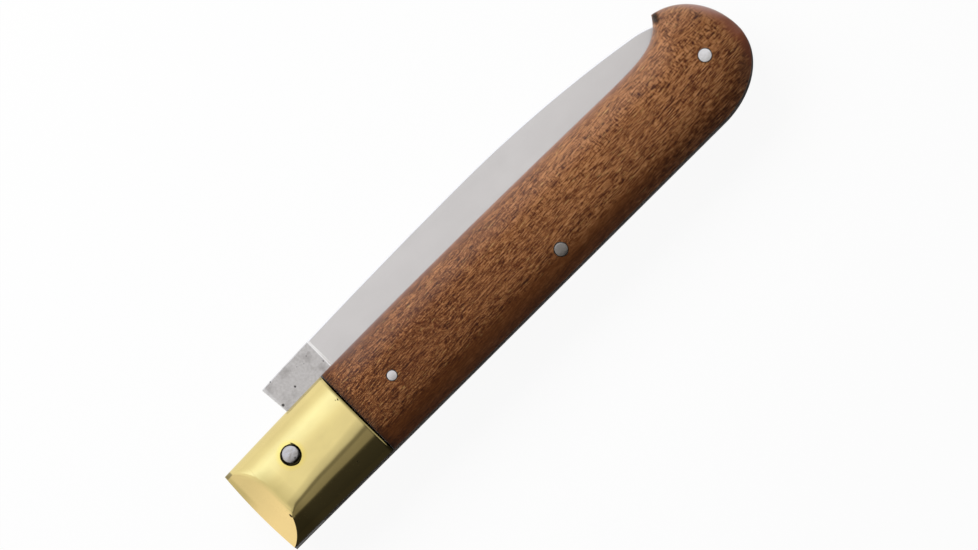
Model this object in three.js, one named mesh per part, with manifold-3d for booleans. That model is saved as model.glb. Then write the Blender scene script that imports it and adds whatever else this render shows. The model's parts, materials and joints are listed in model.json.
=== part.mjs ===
// A folding pocket knife, closed: a broad blade that turns on one pin between two steel liners,
// held shut and held open by a backspring, under brass bolsters and crowned wooden scales.
//
// Millimetres. The knife lies on one side: +X runs from the bolsters to the butt, +Y towards the
// blade's spine and +Z up. The shapes are drawn about the pivot pin, with Z = 0 in the middle of the
// blade, and the finished knife is then set down with the middle of its underside at the origin.

import * as THREE from "three";
import { mergeVertices } from "three/addons/utils/BufferGeometryUtils.js";
import Module from "manifold-3d";

const wasm = await Module();
wasm.setup();

// Driving dimensions

// Layers, from the middle outwards
const BLADE_STOCK = 3.0;
const SIDE_CLEARANCE = 0.1; // between the blade and each liner
const LINER_THICKNESS = 1.0;
const CROWN_RISE = 4.8; // a scale or bolster above its liner
const CROWN_EDGE = 0.4; // its upright edge beside the liner
const CROWN_LAND = 3.2; // width of the flat strip along its top
const CROWN_POWER = 0.62; // 0.5 would make the crown an ellipse, and 1 a parabola

// Handle outline, from the pivot
const FRONT_REACH = 11.88;
const FRONT_BOW = 0.38; // how far the front end bulges
const BACK_DEPTH = 12.35;
const BUTT_REACH = 112.8;
const BUTT_END_Y = -1.98; // where the butt reaches furthest
const BUTT_TOP_RUN = 11.43; // half-axes of the oval from there up to the beak
const BUTT_TOP_RISE = 12.88;
const BUTT_BACK_RUN = 14.08; // and along the oval from there round to the straight back
const MOUTH_HEIGHT = 6.2; // the mouth is the long edge that the blade stands out of
const MOUTH_SWELL = 0.6;
const MOUTH_SWELL_CENTRE = 37;
const MOUTH_SWELL_FRONT = 39; // from the centre to where the swell is gone, on each side
const MOUTH_SWELL_REAR = 52;
const THROAT_LENGTH = 12.6; // the hollow in front of the beak
const THROAT_FADE = 3.05; // every this far ahead of the beak, its rise is 2.7 times less
const BEAK_ANGLE = 82; // degrees round the butt, from its end
const BUTT_DOME = 10; // length over which the crown comes down to the butt
const BUTT_DOME_POWER = 2.6;

// Bolsters
const BOLSTER_LENGTH = 25.88;
const FACET_ANGLE = 45; // degrees, of the sloping front end
const FACET_EDGE = 0.3; // what is left upright at the front end
const BOLSTER_GAP = 0.05; // between a bolster and its scale

// Pins
const PIVOT_RADIUS = 1.7;
const PIVOT_DOME = 0.55;
const COUNTERSINK_RADIUS = 2.1;
const COUNTERSINK_DEPTH = 0.7;
const THROUGH_PIN_RADIUS = 1.3;
const RIVET_RADIUS = 1.0;
const PIN_CLEARANCE = 0.05; // all round every pin
const SPRING_PIN_X = 61.2;
const SPRING_PIN_SHARE = 0.62; // its height, as a share of the spring's depth there
const BUTT_PIN_FROM_END = 8.15;
const BUTT_PIN_Y = -1.75;
const SCALE_RIVET_FROM_BOLSTER = 9.2;
const SCALE_RIVET_Y = -2.9;
const BOLSTER_RIVET_INSET = 5.2; // from each end of the bolster
const BOLSTER_RIVET_FROM_BACK = 4.35;
const BOLSTER_RIVET_GRIP = 2.4; // its length inside the bolster, where it stays hidden

// Tang
const TANG_FLAT = 5.9; // pivot to each of the two flats that the spring holds
const TANG_LOBE = 6.5; // pivot to the round end that lifts the spring between them
const SHOULDER_INNER = 4.95; // X of the stop shoulder at the flat
const SHOULDER_OUTER = 4.35; // and at the spine
const KICK_END = 5.5;
const KICK_RAMP = 1.5;
const RICASSO_END = 16.9;

// Blade
const EDGE_DEPTH = 5.0; // the straight edge below the pivot
const BELLY_START = 76;
const BELLY_POWER = 2.2;
const TIP_SETBACK = 6.0; // from the butt's end
const SPINE_CREST_X = 57;
const SPINE_CREST = 13.7;
const SPINE_FALL_TO_SHOULDER = 1.2;
const SPINE_FALL_TO_TIP = 4.8;
const TIP_DROP = 2.6; // the faster fall of the spine's last stretch
const TIP_DROP_LENGTH = 9.3;
const GRIND_STEP = 0.14; // the ground faces below the ricasso, at the spine
const GRIND_OVERLAP = 0.05; // the ground part's root inside the ricasso
const TAPER_LENGTH = 27;
const TIP_THICKNESS = 0.9;
const EDGE_THICKNESS = 0.2;

// Backspring
const SPRING_GAP = 0.1; // between the spring and each flat
const NOSE_GAP = 0.15; // between the spring's end and the open blade's shoulder
const NOSE_HEEL = 6.5;
const ARM_START = 14;
const ARM_HEIGHT = 4.5;
const HUMP_HALF = 5.5;
const HUMP_RAMP = 9;
const EDGE_CLEARANCE = 0.8; // between the cutting edge and the spring
const TAIL_WALL = 2.4; // above the butt pin

// Facets
const PIN_SEGMENTS = 24;
const PIN_DOME_SEGMENTS = 4;
const CROWN_SEGMENTS = 7; // on each side of the land
const FRONT_SEGMENTS = 8;
const BOLSTER_STATIONS = 4;
const MOUTH_STATIONS = 12;
const THROAT_STATIONS = 8;
const BUTT_STATIONS = 10;
const BUTT_LAST_ANGLE = 6; // degrees, where the facets of the butt's oval stop
const LOBE_SEGMENTS = 16;
const RICASSO_SEGMENTS = 5;
const BLADE_STATIONS = 26;
const STATION_CROWDING = 1.5; // above 1, the blade's sections lie closer towards the tip
const SPRING_CURVE_SEGMENTS = 8;
const SPRING_BUTT_SEGMENTS = 14;

// Worked out from the dimensions

const LINER_INNER = BLADE_STOCK / 2 + SIDE_CLEARANCE;
const LINER_OUTER = LINER_INNER + LINER_THICKNESS;
const HANDLE_HALF = LINER_OUTER + CROWN_RISE;
const CUT_REACH = 2 * HANDLE_HALF; // far enough for a cut to pass right through
const JOINT_X = BOLSTER_LENGTH - FRONT_REACH;
const BUTT_BACK_DROP = BACK_DEPTH + BUTT_END_Y;
const BACK_END = BUTT_REACH - BUTT_BACK_RUN;
const BEAK = buttPoint(BEAK_ANGLE);
const THROAT_START = BEAK.x - THROAT_LENGTH;
const TIP_X = BUTT_REACH - TIP_SETBACK;
const BEARING_Y = -(TANG_FLAT + SPRING_GAP);
const HUMP_TOP = -(EDGE_DEPTH + EDGE_CLEARANCE); // the spring is deepest round its own pin
const SPRING_PIN = new THREE.Vector2(
  SPRING_PIN_X,
  THREE.MathUtils.lerp(-BACK_DEPTH, HUMP_TOP, SPRING_PIN_SHARE),
);
const BUTT_PIN = new THREE.Vector2(BUTT_REACH - BUTT_PIN_FROM_END, BUTT_PIN_Y);
const SCALE_RIVET = new THREE.Vector2(JOINT_X + SCALE_RIVET_FROM_BOLSTER, SCALE_RIVET_Y);
const PIVOT = new THREE.Vector2(0, 0);
const BOLSTER_RIVETS = {
  front: new THREE.Vector2(BOLSTER_RIVET_INSET - FRONT_REACH, BOLSTER_RIVET_FROM_BACK - BACK_DEPTH),
  rear: new THREE.Vector2(JOINT_X - BOLSTER_RIVET_INSET, BOLSTER_RIVET_FROM_BACK - BACK_DEPTH),
};

const materials = {
  blade: new THREE.MeshStandardMaterial({ color: 0xc4c0be, roughness: 0.35, metalness: 1 }),
  spring: new THREE.MeshStandardMaterial({ color: 0x6c6e72, roughness: 0.4, metalness: 1 }),
  liner: new THREE.MeshStandardMaterial({ color: 0x7a7c80, roughness: 0.4, metalness: 1 }),
  brass: new THREE.MeshStandardMaterial({ color: 0xdcc578, roughness: 0.22, metalness: 1 }),
  wood: new THREE.MeshStandardMaterial({ color: 0x7d4c2c, roughness: 0.55, metalness: 0 }),
  pin: new THREE.MeshStandardMaterial({ color: 0xb9bbc0, roughness: 0.3, metalness: 1 }),
};

// Outline of the handle

// A point of the butt's oval, by its angle from the furthest point: 90 at the top, -90 at the back.
function buttPoint(degrees) {
  const angle = THREE.MathUtils.degToRad(degrees);
  const run = degrees > 0 ? BUTT_TOP_RUN : BUTT_BACK_RUN;
  const rise = degrees > 0 ? BUTT_TOP_RISE : BUTT_BACK_DROP;
  return new THREE.Vector2(
    BUTT_REACH - run * (1 - Math.cos(angle)),
    BUTT_END_Y + rise * Math.sin(angle),
  );
}

// Height of a quarter oval, as a share of its rise, at this distance short of its end.
function ovalShare(shortOfEnd, run) {
  return Math.sqrt(1 - (1 - shortOfEnd / run) ** 2);
}

function mouthLine(x) {
  const half = x < MOUTH_SWELL_CENTRE ? MOUTH_SWELL_FRONT : MOUTH_SWELL_REAR;
  const share = (x - MOUTH_SWELL_CENTRE) / half;
  return MOUTH_HEIGHT + MOUTH_SWELL * (1 - share * share);
}

// The mouth's edge, with the hollow that rises from it ever more steeply to the beak.
function mouthEdge(x) {
  const beakRise = BEAK.y - mouthLine(BEAK.x);
  return mouthLine(x) + beakRise * Math.exp((x - BEAK.x) / THROAT_FADE);
}

function topEdge(x) {
  const oval = () => BUTT_END_Y + BUTT_TOP_RISE * ovalShare(BUTT_REACH - x, BUTT_TOP_RUN);
  return x <= BEAK.x ? mouthEdge(x) : oval();
}

function backEdge(x) {
  const oval = () => BUTT_END_Y - BUTT_BACK_DROP * ovalShare(BUTT_REACH - x, BUTT_BACK_RUN);
  return x <= BACK_END ? -BACK_DEPTH : oval();
}

function spread(from, to, count) {
  return Array.from({ length: count + 1 }, (_, i) => from + ((to - from) * i) / count);
}

// X of every section from the given start to the butt, closer together where the outline turns.
function handleStations(from) {
  const mouth = spread(from, THROAT_START, MOUTH_STATIONS);
  const throat = spread(THROAT_START, BEAK.x, THROAT_STATIONS);
  const butt = spread(BEAK_ANGLE, BUTT_LAST_ANGLE, BUTT_STATIONS)
    .map((degrees) => buttPoint(degrees).x);
  return [...mouth, ...throat.slice(1), ...butt.slice(1)];
}

function frontBow(y) {
  const middle = (topEdge(-FRONT_REACH) - BACK_DEPTH) / 2;
  const half = middle + BACK_DEPTH;
  return -FRONT_REACH + FRONT_BOW * ((y - middle) / half) ** 2;
}

function handleOutline() {
  const corner = FRONT_BOW - FRONT_REACH;
  const front = spread(topEdge(corner), -BACK_DEPTH, FRONT_SEGMENTS)
    .map((y) => new THREE.Vector2(frontBow(y), y));
  const stations = handleStations(corner);
  const top = stations.map((x) => new THREE.Vector2(x, topEdge(x)));
  const back = stations
    .filter((x) => x > BACK_END)
    .map((x) => new THREE.Vector2(x, backEdge(x)));
  const lowest = new THREE.Vector2(BACK_END, -BACK_DEPTH);
  return [...front, lowest, ...back, ...top.slice(1).reverse()];
}

// Solids

function toSolid(geometry) {
  const bare = geometry.clone();
  bare.deleteAttribute("normal");
  bare.deleteAttribute("uv");
  const merged = mergeVertices(bare, 1e-4);
  return new wasm.Manifold(
    new wasm.Mesh({
      numProp: 3,
      vertProperties: new Float32Array(merged.attributes.position.array),
      triVerts: new Uint32Array(merged.index.array),
    }),
  );
}

function toGeometry(solid) {
  const { vertProperties, triVerts } = solid.getMesh();
  const geometry = new THREE.BufferGeometry();
  geometry.setAttribute("position", new THREE.BufferAttribute(vertProperties, 3));
  geometry.setIndex(new THREE.BufferAttribute(triVerts, 1));
  geometry.computeVertexNormals();
  return geometry;
}

function prism(points, low, high) {
  const geometry = new THREE.ExtrudeGeometry(new THREE.Shape(points), {
    depth: high - low,
    bevelEnabled: false,
  });
  return toSolid(geometry.translate(0, 0, low));
}

// A solid turned about the pin axis at (at.x, at.y), from a profile of [radius, z] pairs.
function turned(at, profile) {
  const points = profile.map(([radius, z]) => new THREE.Vector2(radius, z));
  const geometry = new THREE.LatheGeometry(points, PIN_SEGMENTS);
  geometry.rotateX(Math.PI / 2).translate(at.x, at.y, 0);
  return toSolid(geometry);
}

function rod(at, radius, low, high) {
  return turned(at, [[0, low], [radius, low], [radius, high], [0, high]]);
}

function hole(at, pinRadius) {
  return rod(at, pinRadius + PIN_CLEARANCE, -CUT_REACH, CUT_REACH);
}

// A closed skin over rings of equally many points, capped at both ends by fans.
function loft(rings) {
  const size = rings[0].length;
  const index = [];
  for (let r = 0; r < rings.length - 1; r++) {
    for (let i = 0; i < size; i++) {
      const a = r * size + i;
      const b = r * size + ((i + 1) % size);
      index.push(a, b, b + size, a, b + size, a + size);
    }
  }
  const last = (rings.length - 1) * size;
  for (let i = 1; i < size - 1; i++) {
    index.push(0, i + 1, i);
    index.push(last, last + i, last + i + 1);
  }
  const geometry = new THREE.BufferGeometry();
  geometry.setAttribute("position", new THREE.Float32BufferAttribute(rings.flat(2), 3));
  geometry.setIndex(index);
  return toSolid(geometry);
}

// Crowned covers: the section that scales and bolsters share

function crownRing(x, base) {
  const top = topEdge(x);
  const back = backEdge(x);
  const middle = (top + back) / 2;
  const half = (top - back) / 2;
  const land = Math.min(CROWN_LAND / 2, half / 2);
  const domeShare = Math.max(x - BUTT_REACH + BUTT_DOME, 0) / BUTT_DOME;
  const dome = (1 - domeShare ** BUTT_DOME_POWER) ** CROWN_POWER;
  const rise = (CROWN_RISE - CROWN_EDGE) * dome;
  const side = spread(0, Math.PI / 2, CROWN_SEGMENTS).map((angle) => ({
    out: land + (half - land) * Math.cos(angle),
    z: LINER_OUTER + CROWN_EDGE + rise * Math.sin(angle) ** (2 * CROWN_POWER),
  }));
  const fromBack = side.map(({ out, z }) => [x, middle - out, z]);
  const toTop = side.map(({ out, z }) => [x, middle + out, z]).reverse();
  return [[x, top, base], [x, back, base], ...fromBack, ...toTop].reverse();
}

// The upper cover, from the plane at the given height up to its crown.
function cover(stations, base) {
  return loft(stations.map((x) => crownRing(x, base)));
}

function wholeEnvelope() {
  const upper = cover(handleStations(-FRONT_REACH), 0);
  return upper.add(upper.mirror([0, 0, 1]));
}

// Everything that lies ahead of the bowed front end.
function frontCutter() {
  const beyond = 2 * FRONT_REACH;
  const top = topEdge(-FRONT_REACH);
  const bow = spread(top, -BACK_DEPTH, FRONT_SEGMENTS).map((y) => new THREE.Vector2(frontBow(y), y));
  const away = [
    new THREE.Vector2(frontBow(-BACK_DEPTH), -2 * BACK_DEPTH),
    new THREE.Vector2(-beyond, -2 * BACK_DEPTH),
    new THREE.Vector2(-beyond, 2 * BACK_DEPTH),
    new THREE.Vector2(frontBow(top), 2 * BACK_DEPTH),
  ];
  return prism([...bow, ...away], -CUT_REACH, CUT_REACH);
}

// What the sloping front facet takes off the upper bolster.
function facetCutter() {
  const slope = Math.tan(THREE.MathUtils.degToRad(FACET_ANGLE));
  const height = 3 * CROWN_RISE;
  const start = LINER_OUTER + FACET_EDGE;
  const profile = [
    new THREE.Vector2(-FRONT_REACH - height, start),
    new THREE.Vector2(-FRONT_REACH, start),
    new THREE.Vector2(height / slope - FRONT_REACH, start + height),
    new THREE.Vector2(-FRONT_REACH - height, start + height),
  ];
  const reach = 2 * BACK_DEPTH;
  const geometry = new THREE.ExtrudeGeometry(new THREE.Shape(profile), {
    depth: 2 * reach,
    bevelEnabled: false,
  });
  return toSolid(geometry.rotateX(Math.PI / 2).translate(0, reach, 0));
}

// The recess round the pin's head. Its slope runs on past the surface, so that it cuts cleanly.
function countersink() {
  const slope = (COUNTERSINK_RADIUS - PIVOT_RADIUS - PIN_CLEARANCE) / COUNTERSINK_DEPTH;
  const depth = 2 * COUNTERSINK_DEPTH;
  const low = HANDLE_HALF - COUNTERSINK_DEPTH;
  const bottom = PIVOT_RADIUS + PIN_CLEARANCE;
  return turned(PIVOT, [[0, low], [bottom, low], [bottom + slope * depth, low + depth], [0, low + depth]]);
}

function bolster() {
  const corner = FRONT_BOW - FRONT_REACH;
  const stations = [-FRONT_REACH, ...spread(corner, JOINT_X - BOLSTER_GAP, BOLSTER_STATIONS)];
  let solid = cover(stations, LINER_OUTER)
    .subtract(frontCutter())
    .subtract(facetCutter())
    .subtract(hole(PIVOT, PIVOT_RADIUS))
    .subtract(countersink());
  for (const at of Object.values(BOLSTER_RIVETS)) {
    const top = LINER_OUTER + BOLSTER_RIVET_GRIP + PIN_CLEARANCE;
    solid = solid.subtract(rod(at, RIVET_RADIUS + PIN_CLEARANCE, -CUT_REACH, top));
  }
  return solid;
}

function scale() {
  return cover(handleStations(JOINT_X), LINER_OUTER)
    .subtract(hole(SPRING_PIN, THROUGH_PIN_RADIUS))
    .subtract(hole(BUTT_PIN, THROUGH_PIN_RADIUS))
    .subtract(hole(SCALE_RIVET, RIVET_RADIUS));
}

function liner() {
  let solid = prism(handleOutline(), LINER_INNER, LINER_OUTER)
    .subtract(hole(PIVOT, PIVOT_RADIUS))
    .subtract(hole(SPRING_PIN, THROUGH_PIN_RADIUS))
    .subtract(hole(BUTT_PIN, THROUGH_PIN_RADIUS));
  for (const at of [SCALE_RIVET, ...Object.values(BOLSTER_RIVETS)]) {
    solid = solid.subtract(hole(at, RIVET_RADIUS));
  }
  return solid;
}

// Pins. Those through the scales are filed flush with the crown that they come out of.

function throughPin(at) {
  return rod(at, THROUGH_PIN_RADIUS, -CUT_REACH, CUT_REACH).intersect(wholeEnvelope());
}

function scaleRivet() {
  return rod(SCALE_RIVET, RIVET_RADIUS, LINER_INNER, CUT_REACH).intersect(wholeEnvelope());
}

function bolsterRivet(at) {
  return rod(at, RIVET_RADIUS, LINER_INNER, LINER_OUTER + BOLSTER_RIVET_GRIP);
}

function pivotPin() {
  const rim = HANDLE_HALF - PIVOT_DOME;
  const dome = spread(0, Math.PI / 2, PIN_DOME_SEGMENTS).map((angle) => [
    PIVOT_RADIUS * Math.cos(angle),
    rim + PIVOT_DOME * Math.sin(angle),
  ]);
  dome[PIN_DOME_SEGMENTS][0] = 0;
  const underside = dome.map(([radius, z]) => [radius, -z]).reverse();
  return turned(PIVOT, [...underside, ...dome]);
}

// Blade

function spineLine(x) {
  const toShoulder = (SPINE_CREST_X - x) / (SPINE_CREST_X - SHOULDER_OUTER);
  const toTip = (x - SPINE_CREST_X) / (TIP_X - SPINE_CREST_X);
  const last = Math.max(x - TIP_X + TIP_DROP_LENGTH, 0) / TIP_DROP_LENGTH;
  const fall = x < SPINE_CREST_X
    ? SPINE_FALL_TO_SHOULDER * toShoulder ** 2
    : SPINE_FALL_TO_TIP * toTip ** 2;
  return SPINE_CREST - fall - TIP_DROP * last ** 2;
}

// X at which the belly has risen by this much from the straight edge.
function bellyX(rise) {
  const whole = spineLine(TIP_X) + EDGE_DEPTH;
  return BELLY_START + (TIP_X - BELLY_START) * (rise / whole) ** (1 / BELLY_POWER);
}

function edgeLine(x) {
  const whole = spineLine(TIP_X) + EDGE_DEPTH;
  const share = Math.max(x - BELLY_START, 0) / (TIP_X - BELLY_START);
  return -EDGE_DEPTH + whole * share ** BELLY_POWER;
}

function tangOutline() {
  const lobeTurn = Math.acos(TANG_FLAT / TANG_LOBE);
  const lobe = spread(Math.PI * 1.5 - lobeTurn, Math.PI / 2 + lobeTurn, LOBE_SEGMENTS)
    .map((angle) => new THREE.Vector2(TANG_LOBE * Math.cos(angle), TANG_LOBE * Math.sin(angle)));
  const spine = spread(SHOULDER_OUTER, RICASSO_END, RICASSO_SEGMENTS)
    .map((x) => new THREE.Vector2(x, spineLine(x)));
  return [
    ...spine.reverse(),
    new THREE.Vector2(SHOULDER_INNER, TANG_FLAT),
    ...lobe.reverse(),
    new THREE.Vector2(KICK_END, -TANG_FLAT),
    new THREE.Vector2(KICK_END + KICK_RAMP, -EDGE_DEPTH),
    new THREE.Vector2(RICASSO_END, -EDGE_DEPTH),
  ];
}

// The flat grind, from the ricasso to the tip: a wedge from the spine down to the edge.
function groundBlade() {
  const start = RICASSO_END - GRIND_OVERLAP;
  const end = TIP_X - EDGE_THICKNESS;
  const stations = spread(0, 1, BLADE_STATIONS)
    .map((share) => end - (end - start) * (1 - share) ** STATION_CROWDING);
  const rings = stations.map((x) => {
    const share = Math.max(x - TIP_X + TAPER_LENGTH, 0) / TAPER_LENGTH;
    const full = BLADE_STOCK - 2 * GRIND_STEP;
    const spine = THREE.MathUtils.lerp(full, TIP_THICKNESS, share ** 2) / 2;
    const edge = EDGE_THICKNESS / 2;
    const top = spineLine(x);
    const low = edgeLine(x);
    return [[x, top, spine], [x, low, edge], [x, low, -edge], [x, top, -spine]];
  });
  return loft(rings);
}

function blade() {
  return prism(tangOutline(), -BLADE_STOCK / 2, BLADE_STOCK / 2)
    .add(groundBlade())
    .subtract(hole(PIVOT, PIVOT_RADIUS));
}

// Backspring

function springOutline() {
  const armTop = ARM_HEIGHT - BACK_DEPTH;
  const tailTop = BUTT_PIN.y + THROUGH_PIN_RADIUS + TAIL_WALL;
  const tailX = bellyX(tailTop + EDGE_CLEARANCE + EDGE_DEPTH);
  const belly = spread(BELLY_START, tailX, SPRING_CURVE_SEGMENTS)
    .map((x) => new THREE.Vector2(x, edgeLine(x) - EDGE_CLEARANCE));
  const tailTurn = THREE.MathUtils.radToDeg(Math.asin((tailTop - BUTT_END_Y) / BUTT_TOP_RISE));
  const butt = spread(tailTurn, -90, SPRING_BUTT_SEGMENTS).map(buttPoint);
  const nose = new THREE.Vector2(NOSE_HEEL, BEARING_Y);
  const heel = new THREE.QuadraticBezierCurve(
    nose,
    new THREE.Vector2((NOSE_HEEL + ARM_START) / 2, armTop),
    new THREE.Vector2(ARM_START, armTop),
  );
  const humpFoot = SPRING_PIN.x - HUMP_HALF - HUMP_RAMP;
  const hump = spread(0, 1, SPRING_CURVE_SEGMENTS).map((share) => new THREE.Vector2(
    humpFoot + HUMP_RAMP * share,
    THREE.MathUtils.lerp(armTop, HUMP_TOP, THREE.MathUtils.smoothstep(share, 0, 1)),
  ));
  return [
    new THREE.Vector2(NOSE_GAP - SHOULDER_OUTER, -BACK_DEPTH),
    ...butt.reverse(),
    ...belly.reverse(),
    ...hump.reverse(),
    ...heel.getPoints(SPRING_CURVE_SEGMENTS).reverse(),
    new THREE.Vector2(NOSE_GAP - SHOULDER_INNER, BEARING_Y),
  ];
}

function backspring() {
  return prism(springOutline(), -LINER_INNER, LINER_INNER)
    .subtract(hole(SPRING_PIN, THROUGH_PIN_RADIUS))
    .subtract(hole(BUTT_PIN, THROUGH_PIN_RADIUS));
}

// Assembly

const knife = new THREE.Group();

function place(name, solid, material) {
  const mesh = new THREE.Mesh(toGeometry(solid), material);
  mesh.name = name;
  knife.add(mesh);
}

// A piece on each side: as drawn on the upper one, and mirrored on the lower one.
function placePair(name, solid, material) {
  place("upper_" + name, solid, material);
  place("lower_" + name, solid.mirror([0, 0, 1]), material);
}

place("blade", blade(), materials.blade);
place("backspring", backspring(), materials.spring);
placePair("liner", liner(), materials.liner);
placePair("bolster", bolster(), materials.brass);
placePair("scale", scale(), materials.wood);
place("pivot_pin", pivotPin(), materials.pin);
place("spring_pin", throughPin(SPRING_PIN), materials.pin);
place("butt_pin", throughPin(BUTT_PIN), materials.pin);
placePair("scale_rivet", scaleRivet(), materials.pin);
for (const [end, at] of Object.entries(BOLSTER_RIVETS)) {
  placePair(end + "_bolster_rivet", bolsterRivet(at), materials.brass);
}

const bounds = new THREE.Box3().setFromObject(knife);
const middle = bounds.getCenter(new THREE.Vector3());
knife.position.set(-middle.x, -middle.y, -bounds.min.z);

export default knife;
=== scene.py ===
"""Folding pocket knife, closed and lying on its side.

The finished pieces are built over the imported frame, in metres, each riding on its own body. Shapes are
worked out about the pivot pin: x towards the butt, y towards the blade's spine, z out of the side that
faces up, with z = 0 in the middle of the blade.
"""

import json
import math

import bmesh
import bpy
import numpy as np
from bpy.props import FloatProperty, FloatVectorProperty, PointerProperty
from mathutils import Matrix, Vector


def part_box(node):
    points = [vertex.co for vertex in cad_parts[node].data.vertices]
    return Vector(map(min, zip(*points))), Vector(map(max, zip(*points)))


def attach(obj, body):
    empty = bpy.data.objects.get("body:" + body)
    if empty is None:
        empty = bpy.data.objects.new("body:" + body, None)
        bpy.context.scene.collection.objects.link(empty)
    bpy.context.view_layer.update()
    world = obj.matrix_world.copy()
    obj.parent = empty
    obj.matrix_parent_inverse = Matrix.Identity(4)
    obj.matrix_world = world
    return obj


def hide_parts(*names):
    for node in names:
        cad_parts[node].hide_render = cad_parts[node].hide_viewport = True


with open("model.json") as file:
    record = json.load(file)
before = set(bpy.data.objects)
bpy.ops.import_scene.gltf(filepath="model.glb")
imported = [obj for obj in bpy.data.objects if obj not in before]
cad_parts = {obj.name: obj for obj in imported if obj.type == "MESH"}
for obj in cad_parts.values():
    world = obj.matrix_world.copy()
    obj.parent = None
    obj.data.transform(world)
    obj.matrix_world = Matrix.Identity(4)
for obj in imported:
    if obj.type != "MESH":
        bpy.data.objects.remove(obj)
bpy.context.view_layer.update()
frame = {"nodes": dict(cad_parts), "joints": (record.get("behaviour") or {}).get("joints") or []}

bl_info = {
    "name": "Folding Pocket Knife",
    "version": (1, 0, 0),
    "blender": (4, 5, 0),
    "location": "3D View > Sidebar > Knife",
    "description": "Builds the finished pieces of a pocket knife with brass bolsters and wooden scales",
    "category": "Add Mesh",
}

PIVOT = Vector(frame["joints"][0]["pos_m"])
LINER_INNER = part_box("upper_liner")[0].z - PIVOT.z
LINER_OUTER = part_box("upper_liner")[1].z - PIVOT.z
HANDLE_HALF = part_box("upper_scale")[1].z - PIVOT.z
BLADE_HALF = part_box("blade")[1].z - PIVOT.z
SIDES = {"upper": 1, "lower": -1}
MM = 1000  # millimetres in a metre, for the places of a finish
DOUBLES = 1e-7  # points nearer than this are merged
THROUGH = 0.02  # half the height of a cutter that goes right through
ACROSS = 23  # points from an edge of the crown to its land
SHARP_TURN = math.radians(40)  # edges that turn further are broken
SLOPE_STEP = 1e-4  # over which the crown's slope at a pin is measured
TIP_SHORT = 1e-4  # from the blade's last section to where its tip would end
FLOOR_REACH = 2.5
TENT_REACH = 0.45  # half the length of the tent and the mat
MAT_GAP = 0.0003  # from the mat to the handle's outline, and to the floor
MAT_END = -0.7


def number(name, description, default, **kind):
    return FloatProperty(name=name, description=description, default=default, **kind)


def length(name, description, default):
    return number(name, description, default, unit="LENGTH", precision=5)


def angle(name, description, degrees):
    return number(name, description, math.radians(degrees), subtype="ANGLE")


def colour(name, description, default):
    return FloatVectorProperty(
        name=name, description=description, default=default, subtype="COLOR", size=3, min=0, max=1
    )


# Sizes and colours


class KnifeHandleSizes(bpy.types.PropertyGroup):
    """Outline and crown of the handle"""

    front_reach: length("Front Reach", "Pivot to the middle of the front end", 0.01188)
    front_bow: length("Front Bow", "How far the front end bulges", 0.00038)
    back_depth: length("Back Depth", "Pivot to the straight back", 0.01235)
    butt_reach: length("Butt Reach", "Pivot to the end of the butt", 0.1128)
    butt_end_y: length("Butt End Height", "Where the butt reaches furthest", -0.00198)
    butt_top_run: length("Butt Top Run", "Length of the oval from the end to the beak", 0.01143)
    butt_top_rise: length("Butt Top Rise", "Height of that oval", 0.01288)
    butt_back_run: length("Butt Back Run", "Length of the oval from the end to the back", 0.01408)
    mouth_height: length("Mouth Height", "Pivot to the edge that the blade stands out of", 0.0062)
    mouth_swell: length("Mouth Swell", "How far that edge swells", 0.0006)
    mouth_swell_centre: length("Swell Centre", "Where the swell is highest", 0.037)
    mouth_swell_front: length("Swell Front", "From there to its foot near the bolster", 0.039)
    mouth_swell_rear: length("Swell Rear", "From there to its foot near the butt", 0.052)
    throat: length("Throat", "Length of the hollow in front of the beak", 0.0126)
    throat_fade: length("Throat Fade", "How far ahead of the beak its rise is 2.7 times less", 0.00305)
    beak_angle: angle("Beak Angle", "Round the butt, from its end", 82)
    crown_edge: length("Crown Edge", "Upright edge beside the liner", 0.0004)
    crown_land: length("Crown Land", "Width of the flat strip along the top", 0.0032)
    crown_power: number("Crown Power", "0.5 makes the crown an ellipse, 1 a parabola", 0.62)
    crown_lean: length("Crown Lean", "How far the crown's middle leans to the back at the front", 0.001)
    lean_end: length("Lean End", "Where that lean has gone, from the pivot", 0.003)
    lean_length: length("Lean Length", "From there to where it is full", 0.009)
    land_waist: number(
        "Land Waist", "Share that the land loses on the back's side at the joint", 0.4, subtype="FACTOR"
    )
    waist_length: length("Waist Length", "How far along the handle that reaches", 0.005)
    butt_dome: length("Butt Dome", "Length over which the crown comes down to the butt", 0.010)
    butt_dome_power: number("Butt Dome Power", "How late the crown comes down", 2.6)
    bolster: length("Bolster", "Length of the bolster", 0.02588)
    joint_gap: length("Joint Gap", "Between a bolster and its scale", 0.00012)
    brass_round: length("Brass Rounding", "Of the bolster's edge at that joint", 0.0007)
    wood_round: length("Wood Rounding", "Of the scale's edge there", 0.00025)
    facet_blend: length("Facet Blend", "How softly the facet meets the crown", 0.0023)
    blend_low: length("Blend Low", "The facet's edge is sharp below this height", -0.0084)
    blend_high: length("Blend High", "It is as soft as that above this height", -0.0068)
    facet_angle: angle("Facet Angle", "Slope of the front facet", 45)
    facet_edge: length("Facet Edge", "What is left upright at the front end", 0.0003)


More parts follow.
